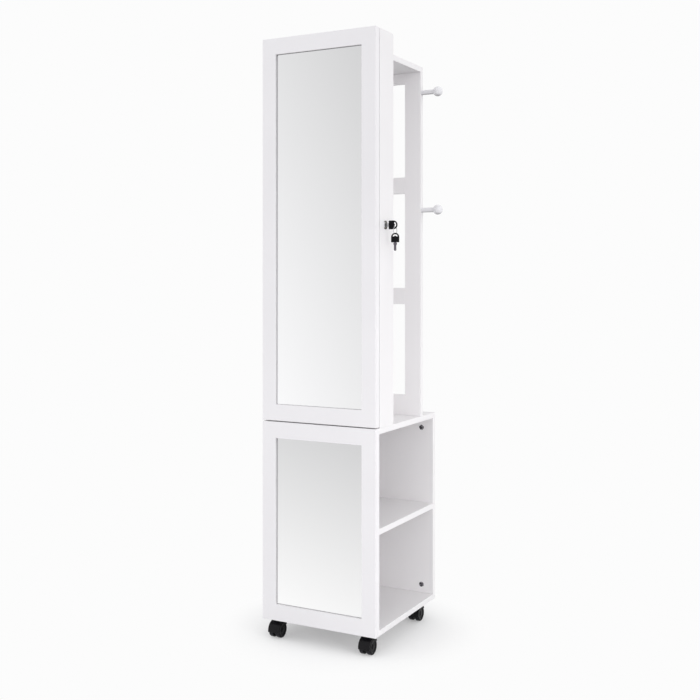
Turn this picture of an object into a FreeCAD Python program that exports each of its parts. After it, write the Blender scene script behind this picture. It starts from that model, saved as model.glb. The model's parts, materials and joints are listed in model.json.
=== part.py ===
import FreeCAD, Part
import math
import os
import Sketcher

# Jewellery mirror cabinet on casters, in millimetres.
# X runs from left to right, Y from the mirror front to the back, Z up from the floor.
# The origin is on the floor, below the middle of the base.

DRIVING_SIZES = [
    # Whole cabinet
    ("cabinet_width", 360, "outside width of the boards"),
    ("cabinet_depth", 400, "outside depth of the base"),
    ("cabinet_height", 1700, "floor to the top of the jewellery case"),
    ("base_height", 562, "base without its casters"),
    ("caster_height", 54, "floor to the underside of the base"),
    ("board_easing", 0.8, "rounding of the painted board edges"),
    ("cut_overrun", 1, "how far a through cut runs past its board"),
    # Base
    ("base_board", 16, "thickness of the base boards"),
    ("shelf_rise", 258, "open space under the shelf"),
    ("shelf_pin_diameter", 5, "pins that carry the shelf"),
    ("shelf_pin_reach", 8, "length of a shelf pin inside and outside its panel"),
    ("shelf_pin_inset", 30, "shelf pin axis from the side of the base"),
    ("pin_clearance", 0.1, "gap above a shelf pin"),
    ("cam_diameter", 15, "panel cam fittings"),
    ("cam_depth", 12.5, "depth of a panel cam in its panel"),
    ("cam_inset", 38, "cam axis from the side of the base"),
    ("cam_upper_drop", 30, "upper cam axis below the top board"),
    ("cam_lower_rise", 25, "lower cam axis above the bottom board"),
    ("cam_slot_width", 1.8, "cross slot of a cam"),
    ("cam_slot_length", 8.4, "cross slot of a cam"),
    ("cam_slot_depth", 2.4, "cross slot of a cam"),
    ("fitting_clearance", 0.1, "gap round a fixed fitting in its hole"),
    # Mirror frames of the base front and the door
    ("frame_thickness", 22, "thickness of the framed fronts"),
    ("frame_stile", 43, "width of the upright borders"),
    ("frame_rail", 46, "width of the level borders"),
    ("frame_lip", 7, "border in front of the mirror glass"),
    ("rebate_width", 8, "how far the mirror runs behind the border"),
    ("mirror_thickness", 3, "mirror glass"),
    ("mirror_clearance", 0.5, "gap round the mirror in its rebate"),
    # Jewellery case
    ("case_depth", 85, "depth of the jewellery case"),
    ("case_board", 12, "thickness of the case sides, top and bottom"),
    ("case_back", 9, "thickness of the case back"),
    ("door_gap", 3, "gap between the door and the case, and above the base"),
    # Hinges
    ("hinge_count", 3, "hinges on the door"),
    ("hinge_length", 64, "height of one hinge"),
    ("hinge_end_distance", 52, "end of the door to the middle of its hinge"),
    ("hinge_pin_diameter", 3, "hinge pin"),
    ("hinge_pin_clearance", 0.05, "radial gap round the hinge pin"),
    ("hinge_barrel_diameter", 5.8, "rolled knuckles"),
    ("hinge_barrel_gap", 0.1, "knuckles to the side of the cabinet"),
    ("hinge_knuckle_gap", 0.3, "gap between two knuckles"),
    ("hinge_leaf_thickness", 1.2, "hinge leaf"),
    ("hinge_case_leaf", 14.5, "case leaf from the pin axis to its edge"),
    ("hinge_door_leaf", 24, "door leaf from the pin axis to its edge"),
    ("hinge_screw_spacing", 44, "distance of the two screws in a leaf"),
    ("hinge_screw_inset", 4.6, "screw axis from the leaf edge"),
    ("hinge_screw_diameter", 2.4, "shank of a hinge screw"),
    ("hinge_screw_head", 4.6, "countersunk head of a hinge screw"),
    ("hinge_screw_length", 9, "shank in the wood"),
    # Lock and keys
    ("lock_height", 1167, "floor to the lock axis"),
    ("lock_setback", 33, "lock axis behind the front edge of the case"),
    ("lock_flange_diameter", 24, "escutcheon on the side of the case"),
    ("lock_flange_thickness", 2.6, "escutcheon"),
    ("lock_barrel_diameter", 18, "housing through the side of the case"),
    ("lock_barrel_length", 26, "housing behind the escutcheon"),
    ("lock_nut_width", 24, "nut across its flats"),
    ("lock_nut_thickness", 4, "nut inside the case"),
    ("plug_diameter", 12, "turning plug"),
    ("plug_clearance", 0.05, "radial gap round the plug"),
    ("plug_stand_proud", 0.6, "plug in front of the escutcheon"),
    ("plug_end_gap", 0.3, "housing to the lock cam"),
    ("plug_tail_side", 5, "square tail that carries the cam"),
    ("plug_rivet_diameter", 9, "peened end behind the cam"),
    ("plug_rivet_thickness", 1.4, "peened end behind the cam"),
    ("lock_cam_thickness", 2, "hooked cam"),
    ("lock_cam_width", 12, "cam round the plug tail"),
    ("lock_cam_arm_above", 3, "arm above the lock axis when locked"),
    ("lock_cam_arm_below", 4, "arm below the lock axis when locked"),
    ("lock_cam_reach", 31, "lock axis to the end of the arm"),
    ("lock_cam_hook_width", 3.5, "hook at the end of the arm"),
    ("lock_cam_hook_rise", 10, "lock axis to the tip of the hook"),
    ("strike_thickness", 1.4, "steel of the strike"),
    ("strike_lip_gap", 1.5, "hook to the strike lip when locked"),
    ("strike_lip_thickness", 2, "lip that the hook holds"),
    ("strike_arm_gap", 1, "arm of the cam to the strike lip when locked"),
    ("strike_roof_gap", 2, "tip of the hook to the roof of the strike"),
    ("strike_width", 11, "strike along the door"),
    ("strike_foot_above", 11, "plate above the roof of the strike"),
    ("strike_foot_below", 10, "plate below the lip of the strike"),
    ("key_gap", 0.2, "plug face to the collar of the key"),
    ("key_collar_length", 7.4, "steel collar between the plug and the bow"),
    ("key_collar_radius", 5.3, "rounded sides of the collar"),
    ("key_block_length", 14, "straight part of the bow"),
    ("key_bow_width", 24, "bow of the key"),
    ("key_bow_thickness", 2.6, "bow of the key"),
    ("key_bow_corner", 2, "back corners of the bow"),
    ("key_bow_easing", 0.6, "rounding of the bow edges"),
    ("key_rim", 3.6, "rim outside the slot of the bow"),
    ("key_slot_offset", 2.2, "flat side of the slot beyond the middle of the bow"),
    ("key_slot_bump", 2, "bump into the slot of the bow"),
    ("key_slot_bump_width", 6, "bump into the slot of the bow"),
    ("key_blade_length", 15.5, "blade"),
    ("key_blade_height", 7, "blade"),
    ("key_blade_thickness", 2, "blade"),
    ("key_notch_depth", 1.5, "cuts of the blade"),
    ("keyway_clearance", 0.1, "gap round the blade in the plug"),
    ("ring_inner_radius", 10, "key ring"),
    ("ring_wire", 1.4, "wire of the key ring"),
    ("ring_plane_offset", 5.2, "ring from the middle of the first bow"),
    ("ring_swing_radius", 3.1, "ring wire to its swing axis in the first bow"),
    ("spare_key_seat", 0.3, "gap between the ring and the spare key"),
    # Inside the jewellery case
    ("lining_thickness", 2, "velvet lining of the back"),
    ("lining_gap", 0.5, "lining to the case boards"),
    ("necklace_rail_drop", 44, "case top to the top of the necklace rail"),
    ("necklace_rail_height", 20, "necklace rail"),
    ("necklace_rail_depth", 16, "necklace rail"),
    ("hook_count", 10, "necklace hooks"),
    ("hook_spacing", 30, "necklace hooks"),
    ("hook_wire", 2.4, "necklace hooks"),
    ("hook_reach", 14, "hook in front of its rail"),
    ("hook_rise", 9, "upturned end of a hook"),
    ("earring_rail_count", 3, "earring rails"),
    ("earring_rail_spacing", 55, "earring rails"),
    ("earring_rail_height", 20, "earring rails"),
    ("earring_rail_thickness", 3, "earring rails"),
    ("earring_rail_standoff", 24, "earring rails in front of the lining"),
    ("earring_rail_gap", 59.7, "top of the ring cushion to the lowest earring rail"),
    ("earring_hole_count", 13, "holes in an earring rail"),
    ("earring_hole_diameter", 3, "holes in an earring rail"),
    ("earring_hole_spacing", 24, "holes in an earring rail"),
    ("tray_count", 3, "small shelves in the case"),
    ("tray_lock_drop", 127, "lock axis to the underside of the highest small shelf"),
    ("tray_spacing", 140, "small shelves"),
    ("tray_thickness", 8, "small shelves"),
    ("tray_depth", 64, "small shelves"),
    ("guard_rod_diameter", 5, "rod in front of a small shelf"),
    ("guard_rod_rise", 25, "rod axis above its shelf"),
    ("guard_rod_inset", 5, "rod axis behind the front of its shelf"),
    ("cushion_width", 290, "ring cushion"),
    ("cushion_height", 180, "ring cushion"),
    ("cushion_base", 20, "ring cushion behind its rolls"),
    ("cushion_roll_count", 6, "rolls of the ring cushion"),
    ("cushion_gap", 0.3, "ring cushion to what it rests on"),
    # Coat rack behind the case
    ("rack_board", 16, "thickness of the rack boards"),
    ("rack_top_drop", 57.5, "top of the case to the top of the rack"),
    ("rack_depth", 200, "back of the case to the back of the rack"),
    ("rack_stile", 51, "width of the upright rack boards"),
    ("rack_bottom_rail", 60, "bottom rail"),
    ("rack_top_rail", 30, "top rail"),
    ("rung_height", 48, "middle rails"),
    ("lower_rung_rise", 328.5, "base top to the lower middle rail"),
    ("upper_rung_rise", 655.5, "base top to the upper middle rail"),
    ("peg_diameter", 14, "rod of a coat peg"),
    ("peg_ball", 29, "ball of a coat peg"),
    ("peg_reach", 51, "side of the rack to the middle of the ball"),
    ("peg_tenon_diameter", 8, "tenon in the rack board"),
    ("peg_tenon_length", 20, "tenon in the rack board"),
    ("upper_peg_drop", 76, "top of the rack to the upper pegs"),
    ("peg_spacing", 345, "upper pegs to the lower pegs"),
    # Twin wheel casters
    ("caster_inset_side", 36, "swivel axis from the side of the base"),
    ("caster_inset_end", 42, "swivel axis from the front or back of the base"),
    ("caster_trail", 18, "swivel axis to the wheel axle"),
    ("caster_plate_side", 42, "mounting plate"),
    ("caster_plate_thickness", 2.5, "mounting plate"),
    ("caster_screw_spacing", 29, "screws of the mounting plate"),
    ("caster_screw_diameter", 4, "screws of the mounting plate"),
    ("caster_screw_head", 7.6, "screws of the mounting plate"),
    ("caster_screw_head_height", 2.2, "screws of the mounting plate"),
    ("caster_screw_length", 11, "screw in the base board"),
    ("wheel_diameter", 44, "caster wheel"),
    ("wheel_width", 13.5, "caster wheel"),
    ("wheel_rounding", 3, "tread edge of a wheel"),
    ("wheel_dish_diameter", 31, "dished side of a wheel"),
    ("wheel_dish_depth", 1.6, "dished side of a wheel"),
    ("wheel_cap_diameter", 13, "hub cap of a wheel"),
    ("wheel_side_gap", 0.5, "wheel to the web of its hood"),
    ("axle_diameter", 5, "wheel axle"),
    ("axle_clearance", 0.05, "radial gap round the axle"),
    ("axle_end_cover", 2, "wheel outside the end of the axle"),
    ("hood_web", 7, "web between the wheels"),
    ("hood_wheel_gap", 0.8, "wheel tread to the hood"),
    ("hood_shell", 1.6, "arched shell over the wheels"),
    ("hood_column_radius", 10, "round column on the swivel axis"),
    ("hood_top_gap", 0.5, "screw heads to the top of the hood"),
    ("swivel_boss_gap", 0.3, "boss of the hood to the plate"),
    ("swivel_pin_diameter", 8, "king pin"),
    ("swivel_pin_clearance", 0.05, "radial gap round the king pin"),
    ("swivel_boss_diameter", 20, "boss round the king pin"),
]

SHEET_NAME = "Sizes"
PARTS_FOLDER = "parts"
FULL_TURN = 360
HALF = 0.5
OUTLINE_FIRST_EDGE = "Edge1"
HEXAGON_CORNER_SHARE = 1 / math.sqrt(3)
HEXAGON_SIDES = 6
HINGE_KNUCKLE_SHARES = (-0.3, 0.1)
HINGE_KNUCKLE_LENGTH_SHARE = 0.2
KEY_NOTCH_SHARES = ((0.16, 0.6), (0.34, 1.0), (0.52, 0.4), (0.7, 0.8))
KEY_NOTCH_WIDTH_SHARE = 0.07
KEY_TIP_SHARE = 0.3
HOOD_FRONT_ANGLE = math.radians(190)
HOOD_REAR_ANGLE = math.radians(30)
HOOD_WEB_LOW_SHARE = 0.45
HOOD_WEB_SPREAD_SHARE = 0.4
WHEEL_DISH_EDGE_SHARE = 0.9
PEG_TENON_CHAMFER_SHARE = 0.12
ROLL_SAG_SHARE = 0.55


class Size:
    """A length with its value in millimetres and the sheet expression that gives it."""

    def __init__(self, text, value):
        self.text = text
        self.value = value

    def __add__(self, other):
        other = as_size(other)
        return Size(f"({self.text} + {other.text})", self.value + other.value)

    def __sub__(self, other):
        other = as_size(other)
        return Size(f"({self.text} - {other.text})", self.value - other.value)

    def __rsub__(self, other):
        return as_size(other) - self

    def __mul__(self, other):
        other = as_size(other)
        return Size(f"({self.text} * {other.text})", self.value * other.value)

    def __truediv__(self, other):
        other = as_size(other)
        return Size(f"({self.text} / {other.text})", self.value / other.value)

    def __neg__(self):
        return Size(f"(0 - {self.text})", -self.value)

    __radd__ = __add__
    __rmul__ = __mul__


def as_size(number):
    """Return a Size for a plain share or count, and leave a Size as it is."""
    if isinstance(number, Size):
        return number
    return Size(repr(float(number)), float(number))


def root(size):
    """Square root of a sum of squares."""
    return Size(f"sqrt({size.text})", math.sqrt(size.value))


ZERO = Size("0", 0.0)


class DrivingSizes:
    """Every driving size of the sheet under its own name."""

    def __init__(self, document):
        sheet = document.addObject("Spreadsheet::Sheet", SHEET_NAME)
        for row, (alias, value, note) in enumerate(DRIVING_SIZES, start=1):
            sheet.set(f"A{row}", str(value))
            sheet.setAlias(f"A{row}", alias)
            sheet.set(f"B{row}", note)
            setattr(self, alias, Size(f"{SHEET_NAME}.{alias}", float(value)))
        document.recompute()


doc = FreeCAD.newDocument("jewellery_mirror_cabinet")
s = DrivingSizes(doc)
sub_parts = []


# Building blocks


def new_body(label, origin):
    """Start a sub-part whose local origin lies at the given place."""
    body = doc.addObject("PartDesign::Body", label)
    body.Label = label
    for axis, size in zip("xyz", origin):
        body.setExpression(f"Placement.Base.{axis}", as_size(size).text)
    sub_parts.append(body)
    return body


def origin_item(body, role):
    """One of the body's own origin planes or axes."""
    return [item for item in body.Origin.OriginFeatures if item.Role == role][0]


def new_sketch(body, role, offset=ZERO):
    """Attach a sketch to one of the body's own origin planes, moved along its normal."""
    sketch = body.newObject("Sketcher::SketchObject", f"{body.Label}_sketch")
    sketch.AttachmentSupport = [(origin_item(body, role), "")]
    sketch.MapMode = "FlatFace"
    if offset is not ZERO:
        sketch.setExpression("AttachmentOffset.Base.z", offset.text)
    return sketch


def fix_point(sketch, geometry, position, x, y):
    """Hold a point of the sketch at its named place."""
    for kind, size in (("DistanceX", x), ("DistanceY", y)):
        size = as_size(size)
        index = sketch.addConstraint(Sketcher.Constraint(kind, -1, 1, geometry, position, size.value))
        sketch.setExpression(f"Constraints[{index}]", size.text)


def arc_between(start, end, radius, turn):
    """Short arc from start to end; turn is 1 when it runs anticlockwise, else -1."""
    middle = (start + end) * HALF
    chord = end - start
    across = FreeCAD.Vector(-chord.y, chord.x, 0).normalize()
    rise = math.sqrt(radius * radius - chord.Length * chord.Length / 4)
    centre = middle + across * (rise * turn)
    top = centre - across * (radius * turn)
    if turn > 0:
        return Part.Arc(start, top, end)
    return Part.Arc(end, top, start)


def draw_outline(sketch, corners):
    """Draw a closed outline.

    A corner is (x, y) when a straight line leads to it, or (x, y, radius, turn)
    when an arc of that radius does.
    """
    places = [FreeCAD.Vector(as_size(x).value, as_size(y).value, 0) for x, y, *_ in corners]
    first = sketch.GeometryCount
    end_position = []
    for index, (_, _, *bend) in enumerate(corners):
        start, end = places[index - 1], places[index]
        if bend:
            radius, turn = bend
            sketch.addGeometry(arc_between(start, end, as_size(radius).value, turn), False)
            end_position.append(2 if turn > 0 else 1)
        else:
            sketch.addGeometry(Part.LineSegment(start, end), False)
            end_position.append(2)
    for index in range(len(corners)):
        following = (index + 1) % len(corners)
        start_position = 3 - end_position[following]
        sketch.addConstraint(
            Sketcher.Constraint(
                "Coincident", first + index, end_position[index], first + following, start_position
            )
        )
    for index, (x, y, *bend) in enumerate(corners):
        fix_point(sketch, first + index, end_position[index], x, y)
        if bend:
            radius = as_size(bend[0])
            number = sketch.addConstraint(Sketcher.Constraint("Radius", first + index, radius.value))
            sketch.setExpression(f"Constraints[{number}]", radius.text)


def draw_rectangle(sketch, left, low, right, high):
    """Draw a rectangle from its low left corner to its high right corner."""
    draw_outline(sketch, [(left, low), (right, low), (right, high), (left, high)])


def draw_circle(sketch, x, y, diameter):
    """Draw a circle about a named centre."""
    x, y, diameter = as_size(x), as_size(y), as_size(diameter)
    centre = FreeCAD.Vector(x.value, y.value, 0)
    number = sketch.addGeometry(
        Part.Circle(centre, FreeCAD.Vector(0, 0, 1), diameter.value * HALF), False
    )
    fix_point(sketch, number, 3, x, y)
    index = sketch.addConstraint(Sketcher.Constraint("Diameter", number, diameter.value))
    sketch.setExpression(f"Constraints[{index}]", diameter.text)


def pad(body, sketch, length, reverse=False, middle=False):
    """Raise a sketch into a solid."""
    feature = body.newObject("PartDesign::Pad", f"{body.Label}_pad")
    feature.Profile = sketch
    feature.setExpression("Length", as_size(length).text)
    feature.Reversed = reverse
    if middle:
        feature.SideType = "Symmetric"
    doc.recompute()
    return feature


def pocket(body, sketch, length, reverse=False, middle=False):
    """Cut a sketch into the body and make sure that it took material away."""
    before = body.Shape.Volume
    feature = body.newObject("PartDesign::Pocket", f"{body.Label}_pocket")
    feature.Profile = sketch
    feature.setExpression("Length", as_size(length).text)
    feature.Reversed = reverse
    if middle:
        feature.SideType = "Symmetric"
    doc.recompute()
    if body.Shape.Volume >= before:
        raise RuntimeError(f"{body.Label}: a pocket cut nothing")
    return feature


def revolve(body, sketch, axis):
    """Turn a profile once round an axis of its sketch."""
    feature = body.newObject("PartDesign::Revolution", f"{body.Label}_turned")
    feature.Profile = sketch
    feature.ReferenceAxis = (sketch, [axis])
    feature.Angle = FULL_TURN
    doc.recompute()
    return feature


def ease(body, base, radius, edges=("",)):
    """Round the edges of a feature, or the named edges alone."""
    feature = body.newObject("PartDesign::Fillet", f"{body.Label}_easing")
    feature.Base = (base, list(edges))
    feature.UseAllEdges = tuple(edges) == ("",)
    feature.setExpression("Radius", radius.text)
    doc.recompute()
    return feature


def repeat(body, role, count, length):
    """Repeat the whole body along one of its origin axes; the solids stay separate."""
    feature = body.newObject("PartDesign::LinearPattern", f"{body.Label}_row")
    feature.TransformMode = "Whole shape"
    feature.Direction = (origin_item(body, role), [""])
    feature.setExpression("Occurrences", count.text)
    feature.setExpression("Length", length.text)
    body.Tip = feature
    doc.recompute()
    return feature


def board(label, low, high, easing=None):
    """A painted board between two opposite corners, with its edges eased."""
    body = new_body(label, low)
    sketch = new_sketch(body, "XY_Plane")
    draw_rectangle(sketch, ZERO, ZERO, high[0] - low[0], high[1] - low[1])
    raised = pad(body, sketch, high[2] - low[2])
    if easing is not None:
        ease(body, raised, easing)
    return body


def drill(body, role, offset, centres, diameter, depth, reverse=False):
    """Drill holes of one size from a plane of the body."""
    sketch = new_sketch(body, role, offset)
    for x, y in centres:
        draw_circle(sketch, x, y, diameter)
    return pocket(body, sketch, depth, reverse)


def spread(count, spacing):
    """Places of a centred row."""
    return [spacing * (index - (count - 1) * HALF) for index in range(count)]


# Places that several pieces share

half_width = s.cabinet_width * HALF
front_y = -s.cabinet_depth * HALF
rear_y = s.cabinet_depth * HALF
base_low = s.caster_height
base_top = s.caster_height + s.base_height
board_front_y = front_y + s.frame_thickness
floor_top = base_low + s.base_board
ceiling_low = base_top - s.base_board
back_inner_y = rear_y - s.base_board
left_inner_x = s.base_board - half_width
shelf_low = floor_top + s.shelf_rise
shelf_top = shelf_low + s.base_board

case_front_y = board_front_y + s.door_gap
case_rear_y = case_front_y + s.case_depth
case_inner_x = half_width - s.case_board
case_floor_top = base_top + s.case_board
case_ceiling_low = s.cabinet_height - s.case_board
case_back_y = case_rear_y - s.case_back
lining_front_y = case_back_y - s.lining_thickness
door_low = base_top + s.door_gap
door_height = s.cabinet_height - door_low


# Base


def cam_places():
    """Panel cam axes on the back panel, as X and height above the bottom board."""
    across = half_width - s.cam_inset
    low = s.cam_lower_rise
    high = ceiling_low - floor_top - s.cam_upper_drop
    return [(side * across, rise) for side in (-1, 1) for rise in (low, high)]


def shelf_pin_places():
    """Shelf pin axes as X and height above the bottom board."""
    across = half_width - s.shelf_pin_inset
    rise = s.shelf_rise - s.shelf_pin_diameter * HALF - s.pin_clearance
    return [(side * across, rise) for side in (-1, 1)]


def caster_places():
    """Names and swivel axes of the four casters."""
    across = half_width - s.caster_inset_side
    along = s.cabinet_depth * HALF - s.caster_inset_end
    places = []
    for end_name, end in (("front", -1), ("rear", 1)):
        for side_name, side in (("left", -1), ("right", 1)):
            places.append((f"{end_name}_{side_name}", side * across, end * along))
    return places


def caster_screw_places():
    """Axes of the screws that hold the caster plates."""
    step = s.caster_screw_spacing * HALF
    return [
        (x + across * step, y + along * step)
        for _, x, y in caster_places()
        for across in (-1, 1)
        for along in (-1, 1)
    ]


def make_base_boards():
    """Bottom, top, back, closed left side and shelf of the base."""
    bottom = board(
        "base_bottom_board",
        (-half_width, board_front_y, base_low),
        (half_width, rear_y, floor_top),
        s.board_easing,
    )
    screw_holes = [(x + half_width, y - board_front_y) for x, y in caster_screw_places()]
    drill(bottom, "XY_Plane", ZERO, screw_holes, s.caster_screw_diameter, s.caster_screw_length, True)
    board(
        "base_top_board",
        (-half_width, board_front_y, ceiling_low),
        (half_width, rear_y, base_top),
        s.board_easing,
    )
    back = board(
        "base_back_panel",
        (-half_width, back_inner_y, floor_top),
        (half_width, rear_y, ceiling_low),
        s.board_easing,
    )
    cam_holes = [(x + half_width, rise) for x, rise in cam_places()]
    drill(back, "XZ_Plane", ZERO, cam_holes, s.cam_diameter + s.fitting_clearance, s.cam_depth)
    pin_holes = [(x + half_width, rise) for x, rise in shelf_pin_places()]
    pin_bore = s.shelf_pin_diameter + s.fitting_clearance
    drill(back, "XZ_Plane", ZERO, pin_holes, pin_bore, s.shelf_pin_reach)
    board(
        "base_left_panel",
        (-half_width, board_front_y, floor_top),
        (left_inner_x, back_inner_y, ceiling_low),
        s.board_easing,
    )
    board(
        "base_shelf",
        (left_inner_x, board_front_y, shelf_low),
        (half_width, back_inner_y, shelf_top),
        s.board_easing,
    )


def make_base_fittings():
    """Panel cams in the back panel and the pins that carry the shelf."""
    cams = new_body("panel_cams", (ZERO, back_inner_y, floor_top))
    discs = new_sketch(cams, "XZ_Plane")
    for x, rise in cam_places():
        draw_circle(discs, x, rise, s.cam_diameter)
    pad(cams, discs, s.cam_depth, reverse=True)
    for width, height in (
        (s.cam_slot_length, s.cam_slot_width),
        (s.cam_slot_width, s.cam_slot_length),
    ):
        slots = new_sketch(cams, "XZ_Plane")
        for x, rise in cam_places():
            draw_rectangle(
                slots,
                x - width * HALF,
                rise - height * HALF,
                x + width * HALF,
                rise + height * HALF,
            )
        pocket(cams, slots, s.cam_slot_depth)

    pins = new_body("shelf_pins", (ZERO, ZERO, floor_top))
    for end_y in (back_inner_y, board_front_y):
        circles = new_sketch(pins, "XZ_Plane", -end_y)
        for x, rise in shelf_pin_places():
            draw_circle(circles, x, rise, s.shelf_pin_diameter)
        pad(pins, circles, s.shelf_pin_reach * 2, middle=True)


# Framed mirrors


def make_framed_mirror(frame_label, mirror_label, backing_label, low, height):
    """Routed frame, mirror glass behind its lip and the backing board that fills the rebate."""
    opening = (
        s.frame_stile,
        s.frame_rail,
        s.cabinet_width - s.frame_stile,
        height - s.frame_rail,
    )
    rebate = (
        opening[0] - s.rebate_width,
        opening[1] - s.rebate_width,
        opening[2] + s.rebate_width,
        opening[3] + s.rebate_width,
    )
    rebate_depth = s.frame_thickness - s.frame_lip
    frame = new_body(frame_label, (-half_width, front_y, low))
    outline = new_sketch(frame, "XZ_Plane")
    draw_rectangle(outline, ZERO, ZERO, s.cabinet_width, height)
    raised = pad(frame, outline, s.frame_thickness, reverse=True)
    ease(frame, raised, s.board_easing)
    window = new_sketch(frame, "XZ_Plane")
    draw_rectangle(window, *opening)
    pocket(frame, window, s.frame_thickness)
    recess = new_sketch(frame, "XZ_Plane", -s.frame_thickness)
    draw_rectangle(recess, *rebate)
    pocket(frame, recess, rebate_depth, reverse=True)

    inset = s.mirror_clearance
    sheets = (
        (mirror_label, s.frame_lip, s.mirror_thickness),
        (backing_label, s.frame_lip + s.mirror_thickness, rebate_depth - s.mirror_thickness),
    )
    for label, setback, thickness in sheets:
        board(
            label,
            (rebate[0] + inset - half_width, front_y + setback, low + rebate[1] + inset),
            (
                rebate[2] - inset - half_width,
                front_y + setback + thickness,
                low + rebate[3] - inset,
            ),
        )
    return frame


def make_base_front():
    """Fixed mirror front of the base, with the holes of its shelf pins."""
    frame = make_framed_mirror(
        "base_front_frame", "base_mirror", "base_mirror_backing", base_low, s.base_height
    )
    pin_holes = [(x + half_width, rise + s.base_board) for x, rise in shelf_pin_places()]
    pin_bore = s.shelf_pin_diameter + s.fitting_clearance
    drill(frame, "XZ_Plane", -s.frame_thickness, pin_holes, pin_bore, s.shelf_pin_reach, True)


# Jewellery case


def make_case():
    """Sides, top, bottom and back of the jewellery case."""
    left = board(
        "case_left_side",
        (-half_width, case_front_y, base_top),
        (-case_inner_x, case_rear_y, s.cabinet_height),
        s.board_easing,
    )
    screw_holes = [
        (hinge_axis_x + s.hinge_case_leaf - s.hinge_screw_inset + half_width, z - base_top)
        for z in hinge_screw_heights()
    ]
    drill(left, "XZ_Plane", ZERO, screw_holes, s.hinge_screw_diameter, s.hinge_screw_length)
    right = board(
        "case_right_side",
        (case_inner_x, case_front_y, base_top),
        (half_width, case_rear_y, s.cabinet_height),
        s.board_easing,
    )
    lock_hole = [(s.lock_setback, s.lock_height - base_top)]
    drill(
        right,
        "YZ_Plane",
        ZERO,
        lock_hole,
        s.lock_barrel_diameter + s.fitting_clearance,
        s.case_board,
        True,
    )
    board(
        "case_top",
        (-case_inner_x, case_front_y, case_ceiling_low),
        (case_inner_x, case_back_y, s.cabinet_height),
        s.board_easing,
    )
    board(
        "case_bottom",
        (-case_inner_x, case_front_y, base_top),
        (case_inner_x, case_back_y, case_floor_top),
        s.board_easing,
    )
    board(
        "case_back",
        (-case_inner_x, case_back_y, base_top),
        (case_inner_x, case_rear_y, s.cabinet_height),
        s.board_easing,
    )


# Hinges

hinge_axis_x = -half_width - s.hinge_barrel_gap - s.hinge_barrel_diameter * HALF
hinge_axis_y = board_front_y + s.door_gap * HALF
hinge_first_z = door_low + s.hinge_end_distance
hinge_span = door_height - s.hinge_end_distance * 2


def hinge_screw_heights():
    """Heights of every screw in one column of hinge leaves."""
    gaps = s.hinge_count - 1
    count = int(s.hinge_count.value)
    middles = [hinge_first_z + hinge_span * index / gaps for index in range(count)]
    step = s.hinge_screw_spacing * HALF
    return [middle + side * step for middle in middles for side in (-1, 1)]


def make_hinge_leaves(label, leaf_width, side, keeps_ends):
    """Leaves and knuckles of one side; side is 1 on the case and -1 on the door."""
    body = new_body(label, (hinge_axis_x, hinge_axis_y, hinge_first_z))
    outer = s.door_gap * HALF * side
    inner = outer - s.hinge_leaf_thickness * side
    plate = new_sketch(body, "XY_Plane")
    draw_rectangle(plate, ZERO, min_size(outer, inner), leaf_width, max_size(outer, inner))
    pad(body, plate, s.hinge_length, middle=True)
    barrel = new_sketch(body, "XY_Plane")
    draw_circle(barrel, ZERO, ZERO, s.hinge_barrel_diameter)
    pad(body, barrel, s.hinge_length, middle=True)

    gap = s.hinge_knuckle_gap * HALF
    reach = s.hinge_barrel_diameter * HALF + s.hinge_knuckle_gap
    gaps_cut = new_sketch(body, "XZ_Plane")
    knuckle = s.hinge_length * HINGE_KNUCKLE_LENGTH_SHARE
    if keeps_ends:
        zones = [
            (s.hinge_length * share - gap, s.hinge_length * share + knuckle + gap)
            for share in HINGE_KNUCKLE_SHARES
        ]
    else:
        first, second = (s.hinge_length * share for share in HINGE_KNUCKLE_SHARES)
        past_end = s.hinge_length * HALF + s.cut_overrun
        zones = [
            (-past_end, first + gap),
            (first + knuckle - gap, second + gap),
            (second + knuckle - gap, past_end),
        ]
    for low, high in zones:
        draw_rectangle(gaps_cut, -reach, low, reach, high)
    pocket(body, gaps_cut, reach * 2, middle=True)

    bore = new_sketch(body, "XY_Plane")
    draw_circle(bore, ZERO, ZERO, s.hinge_pin_diameter + s.hinge_pin_clearance * 2)
    pocket(body, bore, s.hinge_length + s.cut_overrun * 2, middle=True)

    holes = new_sketch(body, "XZ_Plane")
    hole_x = leaf_width - s.hinge_screw_inset
    for end in (-1, 1):
        draw_circle(
            holes,
            hole_x,
            s.hinge_screw_spacing * HALF * end,
            s.hinge_screw_head + s.fitting_clearance * 2,
        )
    pocket(body, holes, s.door_gap, middle=True)
    repeat(body, "Z_Axis", s.hinge_count, hinge_span)


def min_size(first, second):
    """The smaller of two sizes."""
    return first if first.value < second.value else second


def max_size(first, second):
    """The larger of two sizes."""
    return second if first.value < second.value else first


def make_hinge_screws(label, leaf_width, side):
    """Countersunk screws of one side; side is 1 on the case and -1 on the door."""
    face = hinge_axis_y + (s.door_gap * HALF - s.hinge_leaf_thickness) * side
    body = new_body(
        label,
        (
            hinge_axis_x + leaf_width - s.hinge_screw_inset,
            face,
            hinge_first_z - s.hinge_screw_spacing * HALF,
        ),
    )
    profile = new_sketch(body, "XY_Plane")
    tip = (s.hinge_leaf_thickness + s.hinge_screw_length) * side
    seat = s.hinge_leaf_thickness * side
    draw_outline(
        profile,
        [
            (ZERO, ZERO),
            (s.hinge_screw_head * HALF, ZERO),
            (s.hinge_screw_diameter * HALF, seat),
            (s.hinge_screw_diameter * HALF, tip),
            (ZERO, tip),
        ],
    )
    revolve(body, profile, "V_Axis")
    repeat(body, "Z_Axis", as_size(2), s.hinge_screw_spacing)
    repeat(body, "Z_Axis", s.hinge_count, hinge_span)


def make_hinge_pins():
    """One pin through the knuckles of each hinge."""
    body = new_body("hinge_pins", (hinge_axis_x, hinge_axis_y, hinge_first_z))
    section = new_sketch(body, "XY_Plane")
    draw_circle(section, ZERO, ZERO, s.hinge_pin_diameter)
    pad(body, section, s.hinge_length, middle=True)
    repeat(body, "Z_Axis", s.hinge_count, hinge_span)


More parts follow.
